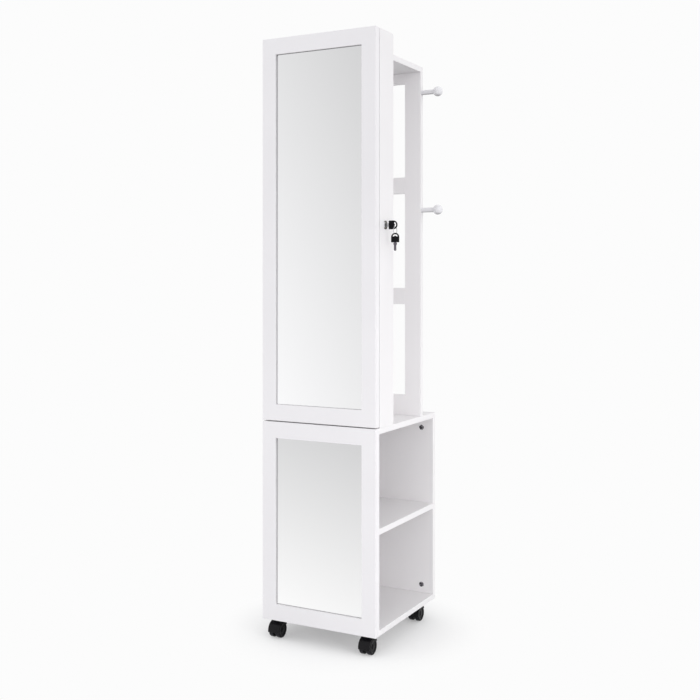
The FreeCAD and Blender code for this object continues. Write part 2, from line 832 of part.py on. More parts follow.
def make_hinges():
    """Three butt hinges on the left edge of the door."""
    make_hinge_leaves("hinge_case_leaves", s.hinge_case_leaf, 1, True)
    make_hinge_leaves("hinge_door_leaves", s.hinge_door_leaf, -1, False)
    make_hinge_screws("hinge_case_screws", s.hinge_case_leaf, 1)
    make_hinge_screws("hinge_door_screws", s.hinge_door_leaf, -1)
    make_hinge_pins()


# Door


def make_door():
    """Mirror door with the pilot holes of its hinge screws."""
    frame = make_framed_mirror("door_frame", "door_mirror", "door_mirror_backing", door_low, door_height)
    screw_holes = [
        (hinge_axis_x + s.hinge_door_leaf - s.hinge_screw_inset + half_width, z - door_low)
        for z in hinge_screw_heights()
    ]
    drill(
        frame,
        "XZ_Plane",
        -s.frame_thickness,
        screw_holes,
        s.hinge_screw_diameter,
        s.hinge_screw_length,
        True,
    )


# Lock

lock_y = case_front_y + s.lock_setback
housing_inner_x = half_width - s.lock_barrel_length
cam_outer_x = housing_inner_x - s.plug_end_gap
cam_inner_x = cam_outer_x - s.lock_cam_thickness
plug_face_x = half_width + s.lock_flange_thickness + s.plug_stand_proud


def hexagon(width):
    """Corners of a hexagon with the given width across its flats."""
    corner = width * HEXAGON_CORNER_SHARE
    turn = math.tau / HEXAGON_SIDES
    return [
        (corner * math.cos(turn * index), corner * math.sin(turn * index))
        for index in range(HEXAGON_SIDES)
    ]


def make_lock_housing():
    """Flanged housing through the side of the case and the nut that holds it."""
    body = new_body("lock_housing", (half_width, lock_y, s.lock_height))
    flange = s.lock_flange_diameter * HALF
    barrel = s.lock_barrel_diameter * HALF
    bore = s.plug_diameter * HALF + s.plug_clearance
    rounding = s.lock_flange_thickness * HALF
    profile = new_sketch(body, "XY_Plane")
    draw_outline(
        profile,
        [
            (-s.lock_barrel_length, bore),
            (s.lock_flange_thickness, bore),
            (s.lock_flange_thickness, flange - rounding),
            (s.lock_flange_thickness - rounding, flange, rounding, 1),
            (ZERO, flange),
            (ZERO, barrel),
            (-s.lock_barrel_length, barrel),
        ],
    )
    revolve(body, profile, "H_Axis")
    nut = new_sketch(body, "YZ_Plane", -s.case_board)
    draw_outline(nut, hexagon(s.lock_nut_width))
    draw_circle(nut, ZERO, ZERO, s.lock_barrel_diameter + s.fitting_clearance)
    pad(body, nut, s.lock_nut_thickness, reverse=True)


def make_lock_plug():
    """Turning plug with its keyway, square tail and peened end."""
    body = new_body("lock_plug", (plug_face_x, lock_y, s.lock_height))
    barrel_length = plug_face_x - housing_inner_x
    shaft = new_sketch(body, "YZ_Plane")
    draw_circle(shaft, ZERO, ZERO, s.plug_diameter)
    pad(body, shaft, barrel_length, reverse=True)
    tail = new_sketch(body, "YZ_Plane", -barrel_length)
    half_tail = s.plug_tail_side * HALF
    draw_rectangle(tail, -half_tail, -half_tail, half_tail, half_tail)
    tail_length = s.plug_end_gap + s.lock_cam_thickness
    pad(body, tail, tail_length, reverse=True)
    rivet = new_sketch(body, "YZ_Plane", -(barrel_length + tail_length))
    draw_circle(rivet, ZERO, ZERO, s.plug_rivet_diameter)
    pad(body, rivet, s.plug_rivet_thickness, reverse=True)
    keyway = new_sketch(body, "YZ_Plane")
    half_slot = s.key_blade_thickness * HALF + s.keyway_clearance
    half_height = s.key_blade_height * HALF + s.keyway_clearance
    draw_rectangle(keyway, -half_slot, -half_height, half_slot, half_height)
    pocket(body, keyway, s.key_blade_length + s.plug_end_gap)


def make_lock_cam():
    """Hooked cam; at rest it hangs down, and its hook points to the door."""
    body = new_body("lock_cam", (cam_outer_x, lock_y, s.lock_height))
    half_hub = s.lock_cam_width * HALF
    outline = new_sketch(body, "YZ_Plane")
    draw_outline(
        outline,
        [
            (s.lock_cam_arm_below, -s.lock_cam_reach),
            (s.lock_cam_arm_below, -half_hub),
            (half_hub, -half_hub),
            (half_hub, ZERO),
            (ZERO, half_hub, half_hub, 1),
            (-half_hub, ZERO, half_hub, 1),
            (-half_hub, -half_hub),
            (-s.lock_cam_arm_above, -half_hub),
            (-s.lock_cam_arm_above, s.lock_cam_hook_width - s.lock_cam_reach),
            (-s.lock_cam_hook_rise, s.lock_cam_hook_width - s.lock_cam_reach),
            (-s.lock_cam_hook_rise, -s.lock_cam_reach),
        ],
    )
    half_hole = s.plug_tail_side * HALF + s.fitting_clearance * HALF
    draw_rectangle(outline, -half_hole, -half_hole, half_hole, half_hole)
    pad(body, outline, s.lock_cam_thickness, reverse=True)


def make_lock_strike():
    """Strike on the back of the door, with a lip that the locked hook holds."""
    lip_rear = lock_y - s.lock_cam_reach + s.lock_cam_hook_width + s.strike_lip_gap + s.strike_lip_thickness
    lip_front = lip_rear - s.strike_lip_thickness
    lip_low = s.lock_cam_arm_above + s.strike_arm_gap
    roof_low = s.lock_cam_hook_rise + s.strike_roof_gap
    roof_top = roof_low + s.strike_thickness
    plate_rear = board_front_y + s.strike_thickness
    middle_x = (cam_outer_x + cam_inner_x) * HALF
    body = new_body("lock_strike", (middle_x, ZERO, s.lock_height))
    outline = new_sketch(body, "YZ_Plane")
    foot_low = -(s.lock_cam_arm_below + s.strike_foot_below)
    foot_high = roof_top + s.strike_foot_above
    draw_outline(
        outline,
        [
            (board_front_y, foot_low),
            (plate_rear, foot_low),
            (plate_rear, roof_low),
            (lip_front, roof_low),
            (lip_front, lip_low),
            (lip_rear, lip_low),
            (lip_rear, roof_top),
            (plate_rear, roof_top),
            (plate_rear, foot_high),
            (board_front_y, foot_high),
        ],
    )
    pad(body, outline, s.strike_width, middle=True)


# Keys

key_x = plug_face_x + s.key_gap
bow_radius = s.key_bow_width * HALF
slot_radius = bow_radius - s.key_rim
bow_middle = s.key_collar_length + s.key_block_length
ring_x = key_x + bow_middle + s.ring_plane_offset
rim_outer = root(bow_radius * bow_radius - s.ring_plane_offset * s.ring_plane_offset)
rim_inner = root(slot_radius * slot_radius - s.ring_plane_offset * s.ring_plane_offset)
ring_axis_z = s.lock_height - (rim_outer + rim_inner) * HALF
ring_radius = s.ring_inner_radius + s.ring_wire * HALF
ring_middle_z = ring_axis_z - (s.ring_inner_radius - s.ring_swing_radius)
ring_low_z = ring_middle_z - ring_radius
spare_key_top_z = ring_low_z + s.ring_wire * HALF + s.spare_key_seat + s.key_rim
bow_end = bow_middle + bow_radius


def bow_outline(turned):
    """Outline of the bow; turned gives a key that hangs with its blade down."""
    corner = s.key_bow_corner
    back = s.key_collar_length
    points = [
        (back, corner - bow_radius),
        (back + corner, -bow_radius, corner, 1),
        (bow_middle, -bow_radius),
        (bow_end, ZERO, bow_radius, 1),
        (bow_middle, bow_radius, bow_radius, 1),
        (back + corner, bow_radius),
        (back, bow_radius - corner, corner, 1),
    ]
    return turn_points(points) if turned else points


def slot_outline(turned):
    """Outline of the slot in the bow, with its flat side and bump towards the blade."""
    flat = bow_middle + s.key_slot_offset
    half_flat = root(slot_radius * slot_radius - s.key_slot_offset * s.key_slot_offset)
    half_bump = s.key_slot_bump_width * HALF
    points = [
        (flat, -half_flat),
        (bow_middle + slot_radius, ZERO, slot_radius, 1),
        (flat, half_flat, slot_radius, 1),
        (flat, half_bump),
        (flat + s.key_slot_bump, ZERO, half_bump, -1),
        (flat, -half_bump, half_bump, -1),
    ]
    return turn_points(points) if turned else points


def turn_points(points):
    """Turn an outline a quarter turn, so that what pointed right points up."""
    return [(-as_size(y), x, *bend) for x, y, *bend in points]


def mirror_points(points):
    """Mirror an outline, so that what lay on the right lies on the left."""
    mirrored = []
    for x, y, *bend in points:
        if bend:
            radius, turn = bend
            bend = [radius, -turn]
        mirrored.append((-as_size(x), y, *bend))
    return mirrored


def make_key_bow(label, origin, turned):
    """Plastic bow of a key in the plane of X and Z."""
    body = new_body(label, origin)
    outline = new_sketch(body, "XZ_Plane")
    draw_outline(outline, bow_outline(turned))
    raised = pad(body, outline, s.key_bow_thickness, middle=True)
    ease(body, raised, s.key_bow_easing)
    slot = new_sketch(body, "XZ_Plane")
    draw_outline(slot, slot_outline(turned))
    pocket(body, slot, s.key_bow_thickness + s.cut_overrun, middle=True)


def make_key_blade(label, origin, turned):
    """Steel blade with its cuts and its collar, in the plane of X and Z."""
    half_height = s.key_blade_height * HALF
    length = s.key_blade_length
    tip = s.key_blade_height * KEY_TIP_SHARE
    half_notch = length * KEY_NOTCH_WIDTH_SHARE
    points = [
        (s.key_collar_length, half_height),
        (ZERO, half_height, s.key_collar_radius, 1),
        (tip - length, half_height),
        (-length, half_height - tip),
        (-length, tip - half_height),
        (tip - length, -half_height),
    ]
    for place, depth in reversed(KEY_NOTCH_SHARES):
        middle = -(length * place)
        points.append((middle - half_notch, -half_height))
        points.append((middle, s.key_notch_depth * depth - half_height))
        points.append((middle + half_notch, -half_height))
    points.append((ZERO, -half_height))
    points.append((s.key_collar_length, -half_height, s.key_collar_radius, 1))
    body = new_body(label, origin)
    outline = new_sketch(body, "XZ_Plane")
    draw_outline(outline, turn_points(points) if turned else points)
    pad(body, outline, s.key_blade_thickness, middle=True)


def make_keys():
    """Key in the lock, ring through its bow and spare key on the ring."""
    first = (key_x, lock_y, s.lock_height)
    make_key_bow("key_bow", first, False)
    make_key_blade("key_blade", first, False)
    ring = new_body("key_ring", (ring_x, lock_y, ring_middle_z))
    section = new_sketch(ring, "XY_Plane")
    draw_circle(section, ZERO, ring_radius, s.ring_wire)
    revolve(ring, section, "H_Axis")
    spare = (ring_x, lock_y, spare_key_top_z - bow_end)
    make_key_bow("spare_key_bow", spare, True)
    make_key_blade("spare_key_blade", spare, True)


# Inside of the jewellery case

top_tray_low = s.lock_height - s.tray_lock_drop
cushion_low = top_tray_low + s.tray_thickness + s.cushion_gap


def make_lining():
    """Velvet lining on the back of the case."""
    gap = s.lining_gap
    board(
        "back_lining",
        (gap - case_inner_x, lining_front_y, case_floor_top + gap),
        (case_inner_x - gap, case_back_y, case_ceiling_low - gap),
    )


def make_necklace_rail():
    """Wooden rail with a row of upturned hooks."""
    rail_top = case_ceiling_low - s.necklace_rail_drop
    rail_low = rail_top - s.necklace_rail_height
    rail_front = lining_front_y - s.necklace_rail_depth
    board(
        "necklace_rail",
        (-case_inner_x, rail_front, rail_low),
        (case_inner_x, lining_front_y, rail_top),
        s.board_easing,
    )
    hooks = new_body("necklace_hooks", (ZERO, rail_front, (rail_low + rail_top) * HALF))
    places = spread(int(s.hook_count.value), s.hook_spacing)
    stems = new_sketch(hooks, "XZ_Plane")
    for x in places:
        draw_circle(stems, x, ZERO, s.hook_wire)
    pad(hooks, stems, s.hook_reach)
    tips = new_sketch(hooks, "XY_Plane", -s.hook_wire * HALF)
    for x in places:
        draw_circle(tips, x, s.hook_wire * HALF - s.hook_reach, s.hook_wire)
    pad(hooks, tips, s.hook_rise)


def make_earring_rails():
    """Perforated rails for earrings between the sides of the case."""
    rear_y_rail = lining_front_y - s.earring_rail_standoff
    gaps = s.earring_rail_count - 1
    first_low = cushion_low + s.cushion_height + s.earring_rail_gap
    rails = new_body("earring_rails", (ZERO, rear_y_rail, first_low))
    outline = new_sketch(rails, "XZ_Plane")
    draw_rectangle(outline, -case_inner_x, ZERO, case_inner_x, s.earring_rail_height)
    raised = pad(rails, outline, s.earring_rail_thickness)
    ease(rails, raised, s.board_easing)
    holes = new_sketch(rails, "XZ_Plane")
    for x in spread(int(s.earring_hole_count.value), s.earring_hole_spacing):
        draw_circle(holes, x, s.earring_rail_height * HALF, s.earring_hole_diameter)
    pocket(rails, holes, s.earring_rail_thickness, reverse=True)
    repeat(rails, "Z_Axis", s.earring_rail_count, s.earring_rail_spacing * gaps)


def make_trays():
    """Small shelves between the sides of the case, each with a guard rod."""
    front = lining_front_y - s.tray_depth
    stack = s.tray_spacing * (s.tray_count - 1)
    body = new_body("tray_shelves", (ZERO, front, top_tray_low - stack))
    outline = new_sketch(body, "XY_Plane")
    draw_rectangle(outline, -case_inner_x, ZERO, case_inner_x, s.tray_depth)
    raised = pad(body, outline, s.tray_thickness)
    ease(body, raised, s.board_easing)
    rod = new_sketch(body, "YZ_Plane")
    draw_circle(rod, s.guard_rod_inset, s.tray_thickness + s.guard_rod_rise, s.guard_rod_diameter)
    pad(body, rod, case_inner_x * 2, middle=True)
    repeat(body, "Z_Axis", s.tray_count, stack)


def make_ring_cushion():
    """Padded cushion with level rolls, between which rings are pushed."""
    rear = lining_front_y - s.cushion_gap
    left = s.cushion_gap - case_inner_x
    body = new_body("ring_cushion", (left, rear, cushion_low))
    roll = s.cushion_height / s.cushion_roll_count
    radius = roll * ROLL_SAG_SHARE
    outline = new_sketch(body, "YZ_Plane")
    corners = [(ZERO, ZERO), (ZERO, s.cushion_height)]
    count = int(s.cushion_roll_count.value)
    corners.append((-s.cushion_base, s.cushion_height))
    for index in range(count):
        corners.append((-s.cushion_base, s.cushion_height - roll * (index + 1), radius, 1))
    draw_outline(outline, corners)
    pad(body, outline, s.cushion_width)


# Coat rack

rack_rear_y = case_rear_y + s.rack_depth
rack_front_y = rack_rear_y - s.rack_board
rack_top = s.cabinet_height - s.rack_top_drop
rack_ceiling = rack_top - s.rack_board
rack_inner_x = half_width - s.rack_stile
peg_rises = (rack_top - s.upper_peg_drop - base_top, rack_top - s.upper_peg_drop - s.peg_spacing - base_top)


def make_rack():
    """Top board, two upright boards and four level rails behind the case."""
    board(
        "rack_top_board",
        (-half_width, case_rear_y, rack_ceiling),
        (half_width, rack_rear_y, rack_top),
        s.board_easing,
    )
    height = rack_ceiling - base_top
    stiles = new_body("rack_stiles", (-half_width, rack_front_y, base_top))
    outline = new_sketch(stiles, "XY_Plane")
    draw_rectangle(outline, ZERO, ZERO, s.rack_stile, s.rack_board)
    raised = pad(stiles, outline, height)
    ease(stiles, raised, s.board_easing)
    repeat(stiles, "X_Axis", as_size(2), s.cabinet_width - s.rack_stile)
    holes = [(s.rack_board * HALF, rise) for rise in peg_rises]
    tenon_bore = s.peg_tenon_diameter + s.fitting_clearance
    drill(stiles, "YZ_Plane", ZERO, holes, tenon_bore, s.peg_tenon_length, True)
    drill(stiles, "YZ_Plane", s.cabinet_width, holes, tenon_bore, s.peg_tenon_length)

    rails = new_body("rack_rails", (-rack_inner_x, rack_front_y, base_top))
    levels = (
        (ZERO, s.rack_bottom_rail),
        (s.lower_rung_rise, s.lower_rung_rise + s.rung_height),
        (s.upper_rung_rise, s.upper_rung_rise + s.rung_height),
        (height - s.rack_top_rail, height),
    )
    faces = new_sketch(rails, "XZ_Plane")
    for low, high in levels:
        draw_rectangle(faces, ZERO, low, rack_inner_x * 2, high)
    raised = pad(rails, faces, s.rack_board, reverse=True)
    ease(rails, raised, s.board_easing)


def make_coat_pegs():
    """Turned pegs with ball ends, two on each upright board."""
    body = new_body("coat_pegs", (ZERO, rack_rear_y - s.rack_board * HALF, base_top))
    peg = s.peg_diameter * HALF
    tenon = s.peg_tenon_diameter * HALF
    chamfer = s.peg_tenon_length * PEG_TENON_CHAMFER_SHARE
    ball = s.peg_ball * HALF
    meet = root(ball * ball - peg * peg)
    for side in (1, -1):
        for rise in peg_rises:
            face = half_width * side
            tip = half_width + s.peg_reach + ball
            points = [
                (face - s.peg_tenon_length * side, rise),
                (face - s.peg_tenon_length * side, rise + tenon - chamfer * HALF),
                (face - (s.peg_tenon_length - chamfer) * side, rise + tenon),
                (face, rise + tenon),
                (face, rise + peg),
                ((half_width + s.peg_reach - meet) * side, rise + peg),
                ((half_width + s.peg_reach) * side, rise + ball, ball, -side),
                (tip * side, rise, ball, -side),
            ]
            profile = new_sketch(body, "XZ_Plane")
            draw_outline(profile, points)
            revolve(body, profile, OUTLINE_FIRST_EDGE)


# Casters

swivel_top = base_low - s.caster_plate_thickness
hood_top = swivel_top - s.caster_screw_head_height - s.hood_top_gap
axle_z = s.wheel_diameter * HALF
wheel_inner_x = s.hood_web * HALF + s.wheel_side_gap
wheel_outer_x = wheel_inner_x + s.wheel_width
well_radius = s.wheel_diameter * HALF + s.hood_wheel_gap
arch_radius = well_radius + s.hood_shell


def make_caster_plates():
    """Square mounting plates under the base, with holes for the king pin and screws."""
    body = new_body("caster_plates", (ZERO, ZERO, swivel_top))
    faces = new_sketch(body, "XY_Plane")
    half_side = s.caster_plate_side * HALF
    for _, x, y in caster_places():
        draw_rectangle(faces, x - half_side, y - half_side, x + half_side, y + half_side)
    pad(body, faces, s.caster_plate_thickness)
    pin_holes = [(x, y) for _, x, y in caster_places()]
    bore = s.swivel_pin_diameter + s.swivel_pin_clearance * 2
    drill(body, "XY_Plane", ZERO, pin_holes, bore, s.caster_plate_thickness, True)
    screw_bore = s.caster_screw_diameter + s.fitting_clearance * 2
    drill(
        body,
        "XY_Plane",
        ZERO,
        caster_screw_places(),
        screw_bore,
        s.caster_plate_thickness,
        True,
    )


def make_caster_screws():
    """Pan head screws through the plates into the base."""
    body = new_body("caster_screws", (ZERO, ZERO, swivel_top))
    heads = new_sketch(body, "XY_Plane")
    shanks = new_sketch(body, "XY_Plane")
    for x, y in caster_screw_places():
        draw_circle(heads, x, y, s.caster_screw_head)
        draw_circle(shanks, x, y, s.caster_screw_diameter)
    pad(body, heads, s.caster_screw_head_height, reverse=True)
    pad(body, shanks, s.caster_plate_thickness + s.caster_screw_length)


def make_caster_hood(name, x, y):
    """Hood that arches over the twin wheels, with a web, a column and the king pin."""
    body = new_body(f"caster_hood_{name}", (x, y, ZERO))
    wheel_y = -s.caster_trail
    arch_front_y = arch_radius * math.cos(HOOD_FRONT_ANGLE) + wheel_y
    arch_front_z = arch_radius * math.sin(HOOD_FRONT_ANGLE) + axle_z
    arch_back_y = arch_radius * math.cos(HOOD_REAR_ANGLE) + wheel_y
    arch_back_z = arch_radius * math.sin(HOOD_REAR_ANGLE) + axle_z
    web_low = axle_z * HOOD_WEB_LOW_SHARE
    web_spread = axle_z * HOOD_WEB_SPREAD_SHARE
    outline = new_sketch(body, "YZ_Plane")
    draw_outline(
        outline,
        [
            (arch_front_y, arch_front_z, arch_radius, 1),
            (wheel_y - web_spread, web_low),
            (wheel_y + web_spread, web_low),
            (arch_back_y, arch_back_z),
        ],
    )
    pad(body, outline, wheel_outer_x * 2, middle=True)
    column = new_sketch(body, "XY_Plane", arch_back_z)
    draw_circle(column, ZERO, ZERO, s.hood_column_radius * 2)
    pad(body, column, hood_top - arch_back_z)
    wells = new_sketch(body, "YZ_Plane", s.hood_web * HALF)
    draw_circle(wells, wheel_y, axle_z, well_radius * 2)
    pocket(body, wells, s.wheel_width + s.cut_overrun, reverse=True)
    wells = new_sketch(body, "YZ_Plane", -s.hood_web * HALF)
    draw_circle(wells, wheel_y, axle_z, well_radius * 2)
    pocket(body, wells, s.wheel_width + s.cut_overrun)
    axle_hole = new_sketch(body, "YZ_Plane")
    draw_circle(axle_hole, wheel_y, axle_z, s.axle_diameter + s.axle_clearance * 2)
    pocket(body, axle_hole, s.hood_web + s.cut_overrun, middle=True)
    boss = new_sketch(body, "XY_Plane", hood_top)
    draw_circle(boss, ZERO, ZERO, s.swivel_boss_diameter)
    pad(body, boss, swivel_top - s.swivel_boss_gap - hood_top)
    pin = new_sketch(body, "XY_Plane", swivel_top - s.swivel_boss_gap)
    draw_circle(pin, ZERO, ZERO, s.swivel_pin_diameter)
    pad(body, pin, s.caster_plate_thickness)


def make_caster_axle(name, x, y):
    """Steel axle through the web and both wheels."""
    body = new_body(f"caster_axle_{name}", (x, y - s.caster_trail, axle_z))
    section = new_sketch(body, "YZ_Plane")
    draw_circle(section, ZERO, ZERO, s.axle_diameter)
    pad(body, section, (wheel_outer_x - s.axle_end_cover) * 2, middle=True)


def make_caster_wheel(name, x, y, side_name, side):
    """Wheel with a rounded tread, a dished side and a hub cap over the axle end."""
    body = new_body(f"wheel_{name}_{side_name}", (x, y - s.caster_trail, axle_z))
    tread = s.wheel_diameter * HALF
    bore = s.axle_diameter * HALF + s.axle_clearance
    dish = s.wheel_dish_diameter * HALF
    cap = s.wheel_cap_diameter * HALF
    axle_end = wheel_outer_x - s.axle_end_cover + s.fitting_clearance
    points = [
        (wheel_inner_x, bore),
        (wheel_inner_x, tread - s.wheel_rounding),
        (wheel_inner_x + s.wheel_rounding, tread, s.wheel_rounding, -1),
        (wheel_outer_x - s.wheel_rounding, tread),
        (wheel_outer_x, tread - s.wheel_rounding, s.wheel_rounding, -1),
        (wheel_outer_x, dish),
        (wheel_outer_x - s.wheel_dish_depth, dish * WHEEL_DISH_EDGE_SHARE),
        (wheel_outer_x - s.wheel_dish_depth, cap),
        (wheel_outer_x, cap * WHEEL_DISH_EDGE_SHARE),
        (wheel_outer_x, ZERO),
        (axle_end, ZERO),
        (axle_end, bore),
    ]
    profile = new_sketch(body, "XY_Plane")
    draw_outline(profile, points if side > 0 else mirror_points(points))
    revolve(body, profile, "H_Axis")


def make_casters():
    """Four twin wheel casters."""
    make_caster_plates()
    make_caster_screws()
    for name, x, y in caster_places():
        make_caster_hood(name, x, y)
        make_caster_axle(name, x, y)
        for side_name, side in (("left", -1), ("right", 1)):
            make_caster_wheel(name, x, y, side_name, side)


def check_and_write():
    """Stop on a failed object, then write each sub-part to its own file."""
    doc.recompute()
    for item in doc.Objects:
        if "Invalid" in item.State or "Error" in item.State:
            raise RuntimeError(f"{item.Label} failed: {item.State}")
    os.makedirs(PARTS_FOLDER, exist_ok=True)
    for body in sub_parts:
        shape = body.Shape
        if shape.isNull() or not shape.isValid() or not shape.Solids:
            raise RuntimeError(f"{body.Label} has no valid solid")
        shape.exportStep(os.path.join(PARTS_FOLDER, f"{body.Label}.step"))
        box = shape.BoundBox
        print(
            f"{body.Label}: {len(shape.Solids)} solid(s), "
            f"X {box.XMin:.1f} to {box.XMax:.1f}, Y {box.YMin:.1f} to {box.YMax:.1f}, "
            f"Z {box.ZMin:.1f} to {box.ZMax:.1f}"
        )


make_base_boards()
make_base_fittings()
make_base_front()
make_case()
make_hinges()
make_door()
make_lock_housing()
make_lock_plug()
make_lock_cam()
make_lock_strike()
make_keys()
make_lining()
make_necklace_rail()
make_earring_rails()
make_trays()
make_ring_cushion()
make_rack()
make_coat_pegs()
make_casters()
check_and_write()
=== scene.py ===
import json
import logging
import math
from dataclasses import dataclass, field
from enum import Enum
from typing import Sequence

import bmesh
import bpy
from mathutils import Matrix, Vector, noise

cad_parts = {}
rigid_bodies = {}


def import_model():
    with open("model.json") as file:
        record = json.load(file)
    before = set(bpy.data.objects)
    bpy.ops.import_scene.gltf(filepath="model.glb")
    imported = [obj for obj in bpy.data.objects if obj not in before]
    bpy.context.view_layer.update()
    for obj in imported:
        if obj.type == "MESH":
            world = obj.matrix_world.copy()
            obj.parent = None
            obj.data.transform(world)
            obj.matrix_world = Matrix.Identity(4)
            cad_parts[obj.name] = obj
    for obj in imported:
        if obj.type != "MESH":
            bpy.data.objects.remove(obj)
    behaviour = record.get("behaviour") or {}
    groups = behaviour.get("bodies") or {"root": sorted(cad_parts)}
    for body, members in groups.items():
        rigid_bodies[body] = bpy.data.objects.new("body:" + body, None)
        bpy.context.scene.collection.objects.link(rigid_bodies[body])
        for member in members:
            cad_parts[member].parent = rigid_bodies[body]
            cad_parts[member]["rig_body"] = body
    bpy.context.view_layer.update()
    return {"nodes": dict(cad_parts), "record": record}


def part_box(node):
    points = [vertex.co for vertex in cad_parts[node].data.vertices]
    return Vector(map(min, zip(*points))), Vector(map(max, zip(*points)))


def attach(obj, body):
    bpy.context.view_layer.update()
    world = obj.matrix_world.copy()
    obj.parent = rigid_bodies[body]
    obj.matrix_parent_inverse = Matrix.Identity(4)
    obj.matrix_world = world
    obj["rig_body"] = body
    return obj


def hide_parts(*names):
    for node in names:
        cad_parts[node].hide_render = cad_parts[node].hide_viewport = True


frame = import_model()

LOG = logging.getLogger("cabinet")

# Curve from the colours of a screen to linear ones
SCREEN_FULL = 255
DARK_SLOPE = 12.92
DARK_END = 0.04045
CURVE_LIFT = 0.055
CURVE_POWER = 2.4

# Half a side of a grid one metre wide, and the round profile of a bevel
HALF_UNIT = 0.5
ROUND_PROFILE = 0.5

Colour = tuple[float, float, float]
Point = tuple[float, float, float]


class Pane(Enum):
    """The two mirrors of the cabinet and the node of each."""

    UPPER = "door_mirror"
    LOWER = "base_mirror"


def linear(colour: Colour) -> tuple[float, float, float, float]:
    """Turn a screen colour into the linear colour that shaders use.

    Args:
        colour: Red, green and blue as they look on a screen, from 0 to 255.

    Returns:
        The linear colour with an alpha of one.
    """
    channels = []
    for value in colour:
        share = value / SCREEN_FULL
        curved = ((share + CURVE_LIFT) / (1 + CURVE_LIFT)) ** CURVE_POWER
        channels.append(share / DARK_SLOPE if share <= DARK_END else curved)
    return channels[0], channels[1], channels[2], 1.0


class Shader:
    """A node material under construction."""

    def __init__(self, name: str) -> None:
        """Start an empty material.

        Args:
            name: Name of the material.
        """
        self.material = bpy.data.materials.new(name)
        self.material.use_nodes = True
        self.tree = self.material.node_tree
        self.tree.nodes.clear()
        self.output = self.tree.nodes.new("ShaderNodeOutputMaterial")

    def add(self, kind: str, **inputs: object) -> bpy.types.Node:
        """Add a node and set or link its inputs.

        Args:
            kind: Node type without the ShaderNode prefix.
            inputs: Input names, with underscores for spaces, and a value or an output socket.

        Returns:
            The new node.
        """
        node = self.tree.nodes.new(f"ShaderNode{kind}")
        for name, value in inputs.items():
            self.feed(node, name.replace("_", " "), value)
        return node

    def feed(self, node: bpy.types.Node, name: str, value: object) -> None:
        """Give one input of a node a value or a link.

        Args:
            node: Node that has the input.
            name: Name of the input.
            value: A value, or an output socket to link.
        """
        socket = node.inputs[name]
        if isinstance(value, bpy.types.NodeSocket):
            self.tree.links.new(value, socket)
        else:
            socket.default_value = value

    def place(self, scale: Sequence[float] = (1, 1, 1)) -> bpy.types.NodeSocket:
        """Object coordinates, stretched along the axes of the cabinet.

        Args:
            scale: Stretch along X, Y and Z.

        Returns:
            The stretched coordinates.
        """
        coordinates = self.add("TexCoord")
        mapping = self.add("Mapping", Vector=coordinates.outputs["Object"], Scale=scale)
        return mapping.outputs["Vector"]

    def noise(
        self, scale: float, detail: float = 3.0, stretch: Sequence[float] = (1, 1, 1)
    ) -> bpy.types.NodeSocket:
        """Soft noise that is fixed to the object.

        Args:
            scale: Features per metre.
            detail: How many finer layers are added.
            stretch: Stretch along X, Y and Z.

        Returns:
            The noise, from zero to one.
        """
        node = self.add("TexNoise", Vector=self.place(stretch), Scale=scale, Detail=detail)
        return node.outputs["Fac"]

    def spread(self, value: bpy.types.NodeSocket, low: float, high: float) -> bpy.types.NodeSocket:
        """Map a value of zero to one onto another range.

        Args:
            value: Value from zero to one.
            low: What zero becomes.
            high: What one becomes.

        Returns:
            The mapped value.
        """
        node = self.add("MapRange", Value=value)
        node.inputs["To Min"].default_value = low
        node.inputs["To Max"].default_value = high
        return node.outputs["Result"]

    def tint(
        self, value: bpy.types.NodeSocket, stops: Sequence[tuple[float, Colour]]
    ) -> bpy.types.NodeSocket:
        """Colour ramp between screen colours.

        Args:
            value: Driving value from zero to one.
            stops: Place and screen colour of each stop, in order.

        Returns:
            The colour output.
        """
        node = self.add("ValToRGB", Fac=value)
        ramp = node.color_ramp
        while len(ramp.elements) < len(stops):
            ramp.elements.new(HALF_UNIT)
        for element, (place, colour) in zip(ramp.elements, stops):
            element.position = place
            element.color = linear(colour)
        return node.outputs["Color"]

    def bump(self, height: bpy.types.NodeSocket, distance: float) -> bpy.types.NodeSocket:
        """Surface relief of a real height.

        Args:
            height: Relief from zero to one.
            distance: Height of the relief in metres.

        Returns:
            The normal.
        """
        node = self.add("Bump", Height=height, Strength=1.0)
        node.inputs["Distance"].default_value = distance
        return node.outputs["Normal"]

    def mix(
        self, share: bpy.types.NodeSocket, first: bpy.types.NodeSocket, second: bpy.types.NodeSocket
    ) -> bpy.types.NodeSocket:
        """Mix two surfaces.

        Args:
            share: Share of the second surface.
            first: First surface.
            second: Second surface.

        Returns:
            The mixed surface.
        """
        node = self.add("MixShader", Fac=share)
        self.tree.links.new(first, node.inputs[1])
        self.tree.links.new(second, node.inputs[2])
        return node.outputs["Shader"]

    def blend(
        self, share: bpy.types.NodeSocket, first: object, second: object
    ) -> bpy.types.NodeSocket:
        """Mix two colours.

        Args:
            share: Share of the second colour.
            first: First colour, as a socket or a value.
            second: Second colour, as a socket or a value.

        Returns:
            The mixed colour.
        """
        node = self.tree.nodes.new("ShaderNodeMix")
        node.data_type = "RGBA"
        sockets = [item for item in node.inputs if item.enabled]
        for socket, value in zip(sockets, (share, first, second)):
            if isinstance(value, bpy.types.NodeSocket):
                self.tree.links.new(value, socket)
            else:
                socket.default_value = value
        return next(item for item in node.outputs if item.enabled)

    def finish(self, surface: bpy.types.NodeSocket) -> bpy.types.Material:
        """Join the surface to the output and hand the material over.

        Args:
            surface: What the material shows.

        Returns:
            The material.
        """
        self.tree.links.new(surface, self.output.inputs["Surface"])
        return self.material


